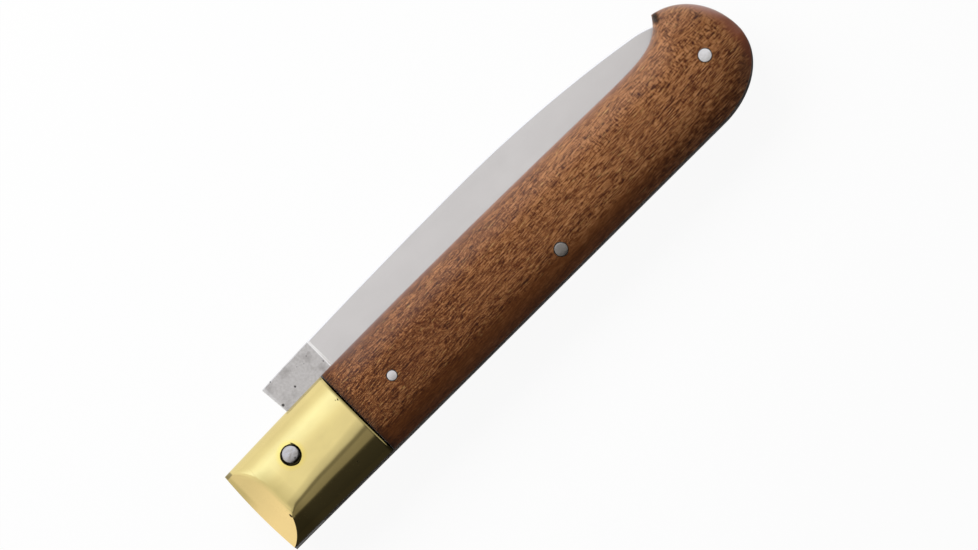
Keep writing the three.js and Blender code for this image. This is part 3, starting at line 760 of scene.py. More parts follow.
def wood_finish(name, colours):
    """Oiled hardwood: fine lines broken into dashes, cross ticks and pores, calmer at the edges, with painted
    shade on the sides facing the back and a painted sheen on the butt's rim.
    """
    s = Surface(name)
    grain = s.put("ShaderNodeMapping", {"Vector": s.place, "Rotation": (0.0, 0.03, math.radians(-3))})
    wander = s.put("ShaderNodeCombineXYZ", {"Y": s.noise(grain, (19, 7, 7), 1.0)})
    grain = s.vector("ADD", grain, wander)

    def streaks(lengths, detail=1.0, roughness=0.5, low=0.3, high=0.7):
        return s.fit(s.noise(grain, lengths, detail, roughness), low, high)

    ribbon = streaks((40, 2.2, 5), 2.0, 0.55)
    patch = streaks((4.2, 1.1, 3), 2.0)
    line = streaks((1.7, 0.13, 0.8))
    dash = streaks((0.26, 0.12, 0.5))
    tick = streaks((0.15, 1.1, 4), 0.0, low=0.38, high=0.58)
    ray = streaks((2.0, 0.28, 2), low=0.69, high=0.76)
    pores = s.effect(pits_effect(), s.stretched(grain, (0.5, 0.3, 0.6)), Radius=0.22, Share=0.4)

    ahead, across, _ = s.split(s.normal())
    rear = s.fit(s.x, 50, 88)
    figured = s.times(
        s.fit(s.noise(s.place, (6, 2.4, 6), 1.0), 0.33, 0.5), s.fit(s.y, -3, 1.5, 0.35, 1),
        s.fit(rear, 0, 1, 0.3, 1), s.fit(across, 0.35, 0.6, 1, 0.15),
    )
    rim = s.fit(ahead, 0.45, 0.7)
    # back marks the sides that face the back of the handle; their grain is calmed, and the tone below darkens
    # them as painted shade.
    back = s.times(s.fit(across, -0.30, -0.48), s.fit(s.x, 75, 90, 1, 0.5))
    calm = s.fit(s.most(rim, back, s.fit(across, 0.62, 0.8)), 0, 1, 1, 0.25)
    fine = s.plus(
        s.times(s.minus(line, 0.5), s.fit(rear, 0, 1, 0.56, 0.76)),
        s.times(s.minus(dash, 0.5), s.fit(rear, 0, 1, 0.56, 0.44)),
        s.times(s.minus(tick, 0.6), figured, 0.46),
        s.times(pores, -0.13),
    )
    fine = s.times(fine, calm)
    # The tone: grain and figure, darker on the sides that face the back as painted shade, darker towards the
    # back edge in the rear half, and lighter towards the butt, partly the wood's own tone and partly painted
    # light.
    tone = s.plus(
        fine,
        s.times(s.minus(patch, 0.5), 0.06),
        s.times(s.minus(ribbon, 0.5), 0.1),
        s.times(back, s.fit(s.x, 30, 50), -0.06),
        s.times(rear, s.fit(s.y, -2, -6), -0.04),
        s.fit(s.x, 13, 80, 0.44, 0.58, smooth=True),
    )
    body = s.ramp(tone, (
        (0.15, colours.wood_pore), (0.36, colours.wood_red),
        (0.52, colours.wood_brown), (0.80, colours.wood_gold),
    ))
    body = s.mix(s.times(ray, calm, 0.6), body, colours.wood_ray)
    # The butt's rim: handled wear, with painted shade where it faces the back and a painted sheen where it
    # faces the blade's side.
    wear_and_painted_light = s.mix(s.fit(across, -0.1, 0.4), colours.wood_rim_wear_shade, colours.wood_rim_wear_sheen)
    body = s.mix(s.times(rim, 0.8), body, wear_and_painted_light)

    handle = bpy.context.scene.knife_handle
    beyond = s.minus(s.x, joint_place(handle) * MM)
    pins = [
        s.spot((x * MM, y * MM), radius * MM + 0.12, 0.1)
        for key, ((x, y), radius) in pin_places().items() if key != "pivot"
    ]
    beak_x, beak_y = butt_point(handle, handle.beak_angle)
    # Painted shade in the hollow just in front of the beak.
    beak_shade = s.spot((beak_x * MM + 0.1, beak_y * MM - 1.0), 1.0, 0.6, (1.5, 0.9), -1.05)
    liner = LINER_OUTER * MM
    # Painted shade along the lowest part of the side round the butt.
    low_edge_shade = s.times(s.fit(s.apart(s.z), liner + 0.1, liner + 0.5, 0.8, 0), s.fit(s.x, 99, 103))
    # A dark seam at the bolster, then painted shade fading out over the next 1.8 mm.
    joint = s.most(s.fit(beyond, 0.05, 0.32, 1, 0), s.fit(beyond, 0.3, 1.8, 0.5, 0))
    # Dark rings round the pins, and painted shade at the beak, on the low edge and beside the bolster, all in
    # the grime colour.
    dirt_and_shade = s.most(joint, *pins, beak_shade, low_edge_shade)
    body = s.mix(s.times(dirt_and_shade, 0.92), body, colours.grime_and_shade)

    oiled = s.times(s.fit(across, 0.15, 0.7), s.fit(s.x, 14, 21), s.fit(dirt_and_shade, 0, 0.5, 1, 0))
    sheen = {
        "Coat Weight": oiled, "Coat Roughness": 0.35, "Specular IOR Level": 0.14,
        "Sheen Weight": 0.3, "Sheen Roughness": 0.3,
    }
    return s.close(body, s.fit(s.smudges(6, 4, 4), 0, 1, 0.36, 0.48), s.bump(fine, 0.03), **sheen)


def brass_finish(name, colours):
    """Hand-polished brass: wavy from the wheel, with hairlines, pits, a dark joint and a darkened recess
    round the pin, and painted shade and painted reflections by the facet, along the joint and along the
    lowest edge.
    """
    s = Surface(name)
    handle, fittings = bpy.context.scene.knife_handle, bpy.context.scene.knife_fittings
    smudge = s.smudges(7, 4, 7)
    small_chip = s.times(s.spot((12.72, 1.2), 1.0, 0.5, (0.12, 0.2)), 0.7)
    large_chip = s.spot((13.1, 1.0), 1.0, 0.5, (0.16, 0.3), 0.3)
    pits = s.most(s.pits(1.9, 0.06, 0.10), small_chip, large_chip)

    ahead_of_joint = s.minus(joint_place(handle) * MM, s.x)
    facing = s.split(s.normal("True Normal"))
    reach = fittings.countersink * MM
    recess = (fittings.countersink_x * MM, fittings.countersink_y * MM)
    wall = s.times(s.spot(recess, reach + 0.3, 0.1), s.fit(s.apart(facing["Z"]), 0.8, 0.6))
    nick = s.spot((1.62, 0.95), 1.0, 0.4, (0.75, 0.2), 1.2)
    facet_chip = s.spot((-7.85, -8.0), 1.0, 0.4, (0.2, 0.5))
    liner = LINER_OUTER * MM
    # Painted shade along the lowest part of the side, just above the liner.
    low_edge_shade = s.fit(s.apart(s.z), liner + 0.02, liner + 0.3, 0.7, 0)
    joint = s.fit(ahead_of_joint, 0.14, 0.28, 1, 0)
    # A dark joint, a darkened recess and wall round the pivot's head, a nick, chips and pits, and painted
    # shade along the lowest edge.
    dirt_and_shade = s.most(joint, wall, s.spot(recess, reach + 0.04, 0.08), nick, facet_chip, low_edge_shade, pits)

    body = s.mix(s.times(smudge, 0.3), colours.brass, colours.brass_aged)
    body = s.mix(s.times(s.spot(recess, reach + 1.0, 0.8), 0.55), body, colours.brass_halo)
    # Painted shade beside the facet's rounded border.
    facet_border_shade = s.times(s.fit(s.x, -4, -6.5), s.fit(s.y, 2.6, 0.5), 0.45)
    body = s.mix(facet_border_shade, body, colours.brass_shaded)
    # Painted shade: a darker strip on the brass along the joint.
    strip = s.times(s.fit(ahead_of_joint, 0.95, 0.5), s.fit(s.y, 4.8, 3.2, 0.3, 0.9))
    body = s.mix(strip, body, colours.brass_joint_shade)
    # Painted reflection on the facet: darker towards the mouth and at its upper front edge, brighter towards
    # the back.
    facet = s.times(s.fit(facing["X"], -0.3, -0.55), s.fit(s.x, -6, -7))
    painted_facet_reflection = s.mix(s.fit(s.y, 2, -7), colours.facet_reflection_dark, colours.facet_reflection_bright)
    front_edge = s.times(s.fit(s.x, -10.6, -11.1), s.fit(s.y, -3, 1), 0.6)
    painted_facet_reflection = s.mix(front_edge, painted_facet_reflection, colours.brass_shaded)
    body = s.mix(s.times(facet, 0.9), body, painted_facet_reflection)
    corner = s.times(s.fit(s.apart(s.x, -10.85), 0.74, 0.52, 0, 0.7), s.fit(s.apart(s.y, 5.5), 0.54, 0.36))
    body = s.mix(corner, body, colours.brass_corner)
    body = s.mix(s.times(dirt_and_shade, 0.94), body, colours.grime_and_shade)

    rough = s.plus(s.fit(smudge, 0, 1, 0.06, 0.12), s.times(dirt_and_shade, 0.4), s.times(facet, 0.1))
    along, around = s.hairlines(5, 0.07, 0.07, degrees=12), s.hairlines(0.06, 4, 0.3, degrees=-20)
    lines = s.plus(along, s.times(around, 0.6))
    waves = s.times(s.noise(s.place, (11, 5, 5), 1.0), 60)
    return s.close(body, rough, s.bump(s.plus(lines, s.times(pits, -8), waves), 0.0008), Metallic=1.0)


def blade_finish(name, colours):
    """Satin ground steel below the ricasso, and the ricasso left matte, pitted and a little stained."""
    s = Surface(name)
    blade = bpy.context.scene.knife_blade
    start, plunge = blade.ricasso_end * MM, (blade.ricasso_end - blade.plunge) * MM
    smudge = s.smudges(9, 5, 9)
    forged = s.noise(s.place, (0.5, 0.5, 0.5), 4.0, 0.6)
    stain = s.noise(s.place, (2.4, 2.4, 2.4), 3.0, 0.6)
    matte = s.fit(s.x, plunge - 0.05, plunge + 0.05, 1, 0)
    pits = s.times(s.pits(1.3, 0.15, 0.5), matte)
    # foot and brow are painted highlights on the two edges of the plunge; the broken edges are lightened as
    # burnish and painted highlight, and the stop shoulder is lightened too.
    foot = s.fit(s.apart(s.x, plunge), 0.03, 0.13, 1, 0)
    brow_highlight = s.fit(s.apart(s.x, start - 0.08), 0.03, 0.13, 0.7, 0)
    shoulder = s.fit(s.x, blade.shoulder_inner * MM, blade.shoulder_inner * MM + 0.3, 0.3, 0)
    edges = s.effect(wear_effect(), s.normal("True Normal"), Start=0.04, Full=0.25)
    wear_and_painted_light = s.most(s.times(edges, 0.8), foot, brow_highlight, shoulder)

    ground = s.mix(s.times(smudge, 0.12), colours.blade, colours.tang)
    tang = s.mix(s.fit(forged, 0.35, 0.65, 0, 0.35), colours.tang, colours.blade)
    tang = s.mix(s.fit(stain, 0.5, 0.75, 0, 0.65), tang, colours.stain)
    body = s.mix(wear_and_painted_light, s.mix(matte, ground, tang), colours.burnish_and_highlight)
    body = s.mix(s.times(pits, 0.85), body, colours.grime_and_shade)
    rough = s.plus(s.fit(smudge, 0, 1, 0.28, 0.34), s.times(matte, 0.12))
    height = s.plus(s.times(s.hairlines(0.07, 7, 0.6), 0.7), s.times(forged, matte, 5), s.times(pits, -14))
    return s.close(body, rough, s.bump(height, 0.0012), Metallic=1.0)


def spring_finish(name, colours):
    """Steel of the back, made very dark to stand in for the shade along the back, with lengthwise filing
    marks.
    """
    s = Surface(name)
    smudge, pits = s.smudges(5, 2, 2), s.pits(1.3, 0.1, 0.3)
    body = s.mix(s.times(smudge, 0.4), colours.spring, colours.tang)
    body = s.mix(s.times(pits, 0.7), body, colours.grime_and_shade)
    height = s.plus(s.hairlines(6, 0.12, 0.05), s.times(pits, -5))
    return s.close(body, s.fit(smudge, 0, 1, 0.3, 0.42), s.bump(height, 0.0015), Metallic=1.0)


def pin_finish(name, colours):
    """Filed and polished pin ends, and the peened head of the pivot, darker round its face, with painted
    shade on its lower side, in a dent and on the pins ahead of the butt pin.
    """
    s = Surface(name)
    smudge = s.smudges(1.1, 1.1, 1.1)
    body = s.mix(s.times(smudge, 0.45), colours.pin, colours.tang)
    pivot, face = s.spot((0, 0), 3.0, 0.5), (-0.06, 0.2)
    body = s.mix(s.times(pivot, 0.75), body, colours.head)
    # Painted shade: pins ahead of the butt pin are darker, standing in for the spring pin's dark reflection;
    # the rivet and the pivot get it too.
    body = s.mix(s.fit(s.x, 75, 70, 0, 0.5), body, colours.tang)
    # Painted shade: the pivot's head darkens towards its lower side.
    body = s.mix(s.times(pivot, s.fit(s.y, 0.2, -1.3, 0.1, 0.5)), body, colours.grime_and_shade)
    # Painted shade in a dent on the lower side of the head; the head's edge round its face is darkened too.
    dent = s.times(s.spot(face, 1.62, 0.12), s.spot((0.15, -1.1), 1, 1, (0.35, 0.3)))
    round_face = s.minus(pivot, s.spot(face, 1.66, 0.16))
    body = s.mix(s.times(s.most(dent, round_face), 0.85), body, colours.grime_and_shade)
    height = s.plus(s.hairlines(2, 0.06, 0.3, degrees=35), s.times(smudge, 5))
    return s.close(body, s.fit(smudge, 0, 1, 0.16, 0.28), s.bump(height, 0.003), Metallic=1.0)


# Geometry node trees


def new_shape_tree(name, numbers, vectors=()):
    """A geometry node tree that reads a shape, these numbers and vectors, and a material."""
    tree = bpy.data.node_groups.new(name, "GeometryNodeTree")
    kinds = {"Geometry": "Geometry", **dict.fromkeys(numbers, "Float"), **dict.fromkeys(vectors, "Vector")}
    for key, kind in {**kinds, "Material": "Material"}.items():
        tree.interface.new_socket(key, in_out="INPUT", socket_type="NodeSocket" + kind)
    tree.interface.new_socket("Geometry", in_out="OUTPUT", socket_type="NodeSocketGeometry")
    return Steps(tree), tree.nodes.new("NodeGroupInput").outputs


def end_shape_tree(steps, shape, material):
    real = steps.put("GeometryNodeRealizeInstances", (shape,))
    return end_tree(steps, steps.put("GeometryNodeSetMaterial", {"Geometry": real, "Material": material}))


def apply_shape(piece, tree, values):
    """Runs a tree on the piece with these inputs and keeps the result as plain mesh."""
    change = piece.modifiers.new(tree.name, "NODES")
    change.node_group = tree
    for item in tree.interface.items_tree:
        if item.in_out == "INPUT" and item.name in values:
            change[item.identifier] = values[item.name]
    settle(piece)
    close_skin(piece)


@built_once("Raise Crown")
def crown_tree(name):
    """Raises a flat skin into a crown, lets a sloping plane cut it off and rounds its edge at the joint."""
    steps, given = new_shape_tree(name, (
        "Edge", "Rise", "Power", "Side", "Facet X", "Facet Edge", "Facet Slope", "Facet Blend",
        "Blend From", "Blend To", "Joint X", "Joint Side", "Joint Round",
    ))

    def carried(key):
        return steps.put("GeometryNodeInputNamedAttribute", {"Name": key}, data_type="FLOAT")

    bulge = steps.math("POWER", carried("across"), steps.times(given["Power"], 2.0))
    crown = steps.plus(given["Edge"], steps.times(given["Rise"], carried("dome"), bulge))
    along, across, _ = steps.split(steps.put("GeometryNodeInputPosition"))
    ahead = steps.minus(along, given["Facet X"])
    facet = steps.plus(steps.times(ahead, given["Facet Slope"]), given["Facet Edge"])
    blend = steps.fit(across, given["Blend From"], given["Blend To"], 0.0, given["Facet Blend"])
    height = steps.math("SMOOTH_MIN", crown, facet, blend)

    radius = given["Joint Round"]
    towards = steps.times(steps.minus(along, given["Joint X"]), given["Joint Side"])
    into = steps.math("MINIMUM", steps.most(steps.plus(towards, radius), 0.0), radius)
    arc = steps.math("SQRT", steps.minus(steps.times(radius, radius), steps.times(into, into)))
    rounded = steps.plus(steps.minus(height, radius), arc)
    height = steps.times(steps.most(rounded, steps.times(given["Edge"], 0.5)), carried("raised"))
    lift = steps.put("ShaderNodeCombineXYZ", {"Z": steps.times(height, given["Side"])})
    shaped = steps.put("GeometryNodeSetPosition", {"Geometry": given["Geometry"], "Offset": lift})
    return end_shape_tree(steps, shaped, given["Material"])


@built_once("Pin")
def pin_tree(name):
    """A round pin whose ends follow the slope that it is filed flush with, and rise into a dented dome."""
    steps, given = new_shape_tree(name, (
        "Radius", "Low", "High", "Dome", "Fullness", "Slope X", "Slope Y", "Dents", "Upper End", "Lower End",
    ), ["Centre"])
    radius = given["Radius"]
    depth = steps.minus(given["High"], given["Low"])
    rod = steps.put(
        "GeometryNodeMeshCylinder",
        {"Vertices": 48, "Side Segments": 1, "Fill Segments": 9, "Radius": radius, "Depth": depth},
        fill_type="TRIANGLE_FAN",
    )
    x, y, z = steps.split(steps.put("GeometryNodeInputPosition"))
    squares = steps.plus(steps.times(x, x), steps.times(y, y))
    share = steps.math("DIVIDE", squares, steps.times(radius, radius))
    inside = steps.most(steps.minus(1.0, share), 0.0)
    dome = steps.times(steps.math("POWER", inside, given["Fullness"]), given["Dome"])
    slope = steps.plus(steps.times(x, given["Slope X"]), steps.times(y, given["Slope Y"]))
    end = steps.put("ShaderNodeCombineXYZ", (x, y, steps.math("SIGN", z)))
    dent = steps.put("ShaderNodeTexNoise", {"Vector": end, "Scale": 1100.0, "Detail": 1.0})  # just under 1 mm
    dented = steps.times(steps.minus(dent, 0.5), given["Dents"], inside)
    upper = steps.times(steps.math("GREATER_THAN", z, 0.0), given["Upper End"])
    lower = steps.times(steps.math("LESS_THAN", z, 0.0), given["Lower End"])
    lift = steps.times(steps.plus(dome, slope, dented), steps.minus(upper, lower))
    lift = steps.put("ShaderNodeCombineXYZ", {"Z": lift})
    shaped = steps.put("GeometryNodeSetPosition", {"Geometry": rod, "Offset": lift})
    middle = steps.times(steps.plus(given["High"], given["Low"]), 0.5)
    place = steps.vector("ADD", given["Centre"], steps.put("ShaderNodeCombineXYZ", {"Z": middle}))
    placed = steps.put("GeometryNodeTransform", {"Geometry": shaped, "Translation": place})
    return end_shape_tree(steps, placed, given["Material"])


# Pieces


def pin_places():
    """Every pin that shows: its place and radius."""
    fit = bpy.context.scene.knife_fittings
    return {
        "pivot": ((0.0, 0.0), fit.pivot_radius),
        "spring": ((fit.spring_pin_x, fit.spring_pin_y), fit.pin_radius),
        "butt": ((fit.butt_pin_x, fit.butt_pin_y), fit.pin_radius),
        "rivet": ((fit.rivet_x, fit.rivet_y), fit.rivet_radius),
    }


def handle_outline(size):
    """The outline that both liners share, front end first."""
    corner = size.front_bow - size.front_reach
    top_y = float(top_edge(size, corner))
    middle, half = (top_y - size.back_depth) / 2, (top_y + size.back_depth) / 2
    ys = np.linspace(top_y, -size.back_depth, 25)
    front = [(size.front_bow * ((y - middle) / half) ** 2 - size.front_reach, y) for y in ys]
    stations = handle_stations(size, corner, 40, 24, 60)
    back = [butt_point(size, turn) for turn in np.linspace(-math.pi / 2, math.radians(-1), 60)]
    top = [(x, float(top_edge(size, x))) for x in stations[:0:-1]]
    return front + back + top


def spring_outline(handle, blade, fit):
    """The spring's outline: its back, the tail round the butt pin, the arm, and the nose on the tang."""
    arm_top = fit.arm_height - handle.back_depth
    hump_top = -blade.edge_depth - fit.edge_clearance
    tail_top = fit.butt_pin_y + fit.pin_radius + fit.tail_wall
    bearing = -blade.tang_flat - fit.spring_gap
    turn = math.asin((tail_top - handle.butt_end_y) / handle.butt_top_rise)
    butt = [butt_point(handle, a) for a in np.linspace(-math.pi / 2, turn, 70)]
    xs = np.linspace(blade.belly_start, handle.butt_reach, 400)
    belly = [(x, float(edge_line(blade, handle.butt_reach, x)) - fit.edge_clearance) for x in xs]
    belly = [p for p in belly if p[1] < tail_top][::8]
    foot = fit.spring_pin_x - fit.hump_half - fit.hump_ramp
    hump = []
    for share in np.linspace(0, 1, 14):
        step = share * share * (3 - 2 * share)
        hump.append((foot + fit.hump_ramp * share, arm_top + (hump_top - arm_top) * step))
    heel = []
    for share in np.linspace(0, 1, 12):
        a, b, c = (1 - share) ** 2, 2 * share * (1 - share), share**2
        turn_x = (fit.nose_heel + fit.arm_start) / 2
        heel.append((a * fit.nose_heel + b * turn_x + c * fit.arm_start, a * bearing + (b + c) * arm_top))
    nose = [(fit.nose_gap - blade.shoulder_inner, bearing)]
    start = [(fit.nose_gap - blade.shoulder_outer, -handle.back_depth)]
    return start + butt + belly[::-1] + hump[::-1] + heel[::-1] + nose


class KNIFE_OT_liners(bpy.types.Operator):
    """Build the two steel liners"""

    bl_idname = "knife.liners"
    bl_label = "Liners"

    def execute(self, context):
        scene = context.scene
        steel = once("Darkened spring steel", spring_finish)
        for name, side in SIDES.items():
            low, high = sorted((side * LINER_INNER, side * LINER_OUTER))
            liner = plate(name + "_liner_plate", handle_outline(scene.knife_handle), low, high)
            cut_away(liner, *pin_bores("pivot", "spring", "butt", "rivet"))
            break_edges(liner, scene.knife_fittings.plate_bevel)
            finish_piece(liner, "handle", [name + "_liner"], steel)
        return {"FINISHED"}


class KNIFE_OT_backspring(bpy.types.Operator):
    """Build the backspring"""

    bl_idname = "knife.backspring"
    bl_label = "Backspring"

    def execute(self, context):
        scene = context.scene
        fit = scene.knife_fittings
        outline = spring_outline(scene.knife_handle, scene.knife_blade, fit)
        half = LINER_INNER - fit.spring_play
        spring = plate("backspring_bar", outline, -half, half)
        cut_away(spring, *pin_bores("spring", "butt"))
        break_edges(spring, fit.plate_bevel)
        steel = once("Darkened spring steel", spring_finish)
        finish_piece(spring, "handle", ["backspring"], steel)
        return {"FINISHED"}


def raise_crown(piece, side, material, facet):
    """Gives a flat skin its crown, and a bolster its facet too."""
    size = bpy.context.scene.knife_handle
    values = {
        "Edge": size.crown_edge,
        "Rise": HANDLE_HALF - LINER_OUTER - size.crown_edge,
        "Power": size.crown_power,
        "Side": float(side),
        "Facet Edge": 1.0,
        "Blend From": PIVOT.y + size.blend_low,
        "Blend To": PIVOT.y + size.blend_high,
        "Joint X": PIVOT.x + joint_place(size),
        "Joint Side": -1.0,
        "Joint Round": size.wood_round,
        "Material": material,
    }
    if facet:
        values |= {
            "Facet X": PIVOT.x - size.front_reach,
            "Facet Edge": size.facet_edge,
            "Facet Slope": math.tan(size.facet_angle),
            "Facet Blend": size.facet_blend,
            "Joint X": PIVOT.x + joint_place(size) - size.joint_gap,
            "Joint Side": 1.0,
            "Joint Round": size.brass_round,
        }
    apply_shape(piece, crown_tree(), values)


def half_section(reach, land, bend):
    """How far out from the crown's middle the points of one side lie."""
    return land + (reach - land) * np.cos(bend)


def scale_grid(size):
    """Places of the scale's skin: sections from the bolster to the butt, closer near the edges."""
    joint = joint_place(size)
    edge = joint + size.wood_round * (1 - np.cos(np.linspace(0, math.pi / 2, 6)))
    stations = np.concatenate([edge[:-1], handle_stations(size, edge[-1], 90, 34, 60)])
    middle, up, down, _ = crown_section(size, stations)
    bend = np.linspace(0, math.pi / 2, ACROSS)
    above = [middle + half_section(*up, turn) for turn in bend]
    below = [middle - half_section(*down, turn) for turn in bend[::-1]]
    flat = [middle + share * up[1] for share in (0.5, 0)] + [middle - 0.5 * down[1]]
    ys = np.stack(above + flat + below, axis=1)
    return np.repeat(stations[:, None], ys.shape[1], axis=1), ys


def bolster_grid(size):
    """Places of the bolster's skin, with a line of points along the facet's edge."""
    corner = size.front_bow - size.front_reach
    joint = joint_place(size) - size.joint_gap
    slope = math.tan(size.facet_angle)
    rise = HANDLE_HALF - LINER_OUTER - size.crown_edge
    facet_end = (HANDLE_HALF - LINER_OUTER - size.facet_edge) / slope - size.front_reach
    top_x = (facet_end * (joint - corner) + size.front_bow * joint) / (joint - corner + size.front_bow)
    edge = joint - size.brass_round * (1 - np.sin(np.linspace(0, math.pi / 2, 9)))
    facet, crown = np.linspace(corner, top_x, 44)[:-1], np.linspace(top_x, edge[0], 60)[:-1]
    stations = np.concatenate([facet, crown, edge])
    xs, ys = [], []
    for station in stations:
        middle, up, down, _ = crown_section(size, station)
        top, back = float(top_edge(size, station)), float(back_edge(size, station))
        bow = size.front_bow * (joint - station) / (joint - corner)

        def place(y):
            return station - bow * (1 - ((2 * y - top - back) / (top - back)) ** 2)

        def above_facet(y, bend):
            crown = size.crown_edge + rise * math.sin(bend) ** (2 * size.crown_power)
            return crown - size.facet_edge - (place(y) + size.front_reach) * slope

        def arc(half, sign):
            low, high = 0.0, math.pi / 2
            if above_facet(middle + sign * half[1], high) > 0:
                for _ in range(40):
                    turn = (low + high) / 2
                    over = above_facet(middle + sign * half_section(*half, turn), turn) > 0
                    low, high = (low, turn) if over else (turn, high)
            return middle + sign * half_section(*half, np.linspace(0, high, ACROSS))

        above, below = arc(up, 1), arc(down, -1)[::-1]
        row = np.concatenate([above, np.linspace(above[-1], below[0], 19)[1:-1], below])
        xs.append(place(row))
        ys.append(row)
    return np.array(xs), np.array(ys)


class KNIFE_OT_scales(bpy.types.Operator):
    """Build the two wooden scales"""

    bl_idname = "knife.scales"
    bl_label = "Scales"

    def execute(self, context):
        wood = once("Oiled hardwood", wood_finish)
        for name, side in SIDES.items():
            scale = grid_skin(name + "_scale_wood", *scale_grid(context.scene.knife_handle), side)
            raise_crown(scale, side, wood, facet=False)
            cut_away(scale, *pin_bores("spring", "butt", "rivet"))
            finish_piece(scale, "handle", [name + "_scale"], wood, crease=35)
        return {"FINISHED"}


class KNIFE_OT_bolsters(bpy.types.Operator):
    """Build the two brass bolsters and give their hidden rivets the same finish"""

    bl_idname = "knife.bolsters"
    bl_label = "Bolsters"

    def execute(self, context):
        scene = context.scene
        fit = scene.knife_fittings
        brass = once("Polished brass", brass_finish)
        for name, side in SIDES.items():
            bolster = grid_skin(name + "_bolster_brass", *bolster_grid(scene.knife_handle), side)
            raise_crown(bolster, side, brass, facet=True)
            radius = fit.pivot_radius + fit.clearance
            low, high = (side * (HANDLE_HALF + way * fit.countersink_depth) for way in (-1, 1))
            recess = bore(
                (fit.countersink_x, fit.countersink_y), radius, low, high,
                flare=2 * (fit.countersink - radius), wobble=fit.recess_wobble,
            )
            cut_away(bolster, *pin_bores("pivot"), recess)
            finish_piece(bolster, "handle", [name + "_bolster"], brass, crease=24)
            for end in ("front", "rear"):
                node = frame["nodes"][f"{name}_{end}_bolster_rivet"]
                node.data.materials.clear()
                node.data.materials.append(brass)
        return {"FINISHED"}


class KNIFE_OT_pins(bpy.types.Operator):
    """Build the pivot pin, the two pins of the spring and the scale rivets"""

    bl_idname = "knife.pins"
    bl_label = "Pins and Rivets"

    def execute(self, context):
        fit = context.scene.knife_fittings
        rim = HANDLE_HALF - fit.pivot_rim
        head = {"Radius": fit.pivot_radius, "Dome": fit.pivot_dome, "Fullness": 0.5, "Dents": fit.pivot_dents}
        self.pin(context, "pivot_pin", "pivot", -rim, rim, (1, 1), **head)
        for key, dome in (("spring", fit.spring_pin_dome), ("butt", fit.pin_dome)):
            high = self.filed_end(context, key)
            self.pin(context, key + "_pin", key, -high, high, (1, 1), Dome=dome)
        high = self.filed_end(context, "rivet")
        self.pin(context, "upper_scale_rivet", "rivet", LINER_INNER, high, (1, 0))
        self.pin(context, "lower_scale_rivet", "rivet", -high, -LINER_INNER, (0, 1))
        return {"FINISHED"}

    def filed_end(self, context, key):
        """Height of a pin's filed end, a little below the crown."""
        size, fit = context.scene.knife_handle, context.scene.knife_fittings
        return float(crown_height(size, *pin_places()[key][0])) - fit.filed_depth

    def pin(self, context, node, key, low, high, ends, **shape):
        """A pin that stands in for this node. ends tells which of the two ends, upper and lower, show."""
        size, fit = context.scene.knife_handle, context.scene.knife_fittings
        (x, y), radius = pin_places()[key]
        slope_x = crown_height(size, x + SLOPE_STEP, y) - crown_height(size, x - SLOPE_STEP, y)
        slope_y = crown_height(size, x, y + SLOPE_STEP) - crown_height(size, x, y - SLOPE_STEP)
        share = fit.filed_slope / (2 * SLOPE_STEP)
        steel = once("Polished pin steel", pin_finish)
        piece = add_object(node + "_steel", bpy.data.meshes.new(node + "_steel"))
        apply_shape(piece, pin_tree(), {
            "Centre": (PIVOT.x + x, PIVOT.y + y, PIVOT.z), "Radius": radius - fit.head_gap,
            "Low": low, "High": high, "Dome": fit.pin_dome, "Fullness": 1.0, "Dents": fit.pin_dents,
            "Slope X": share * float(slope_x), "Slope Y": share * float(slope_y),
            "Upper End": float(ends[0]), "Lower End": float(ends[1]), "Material": steel, **shape,
        })
        finish_piece(piece, "handle", [node], steel, crease=50)


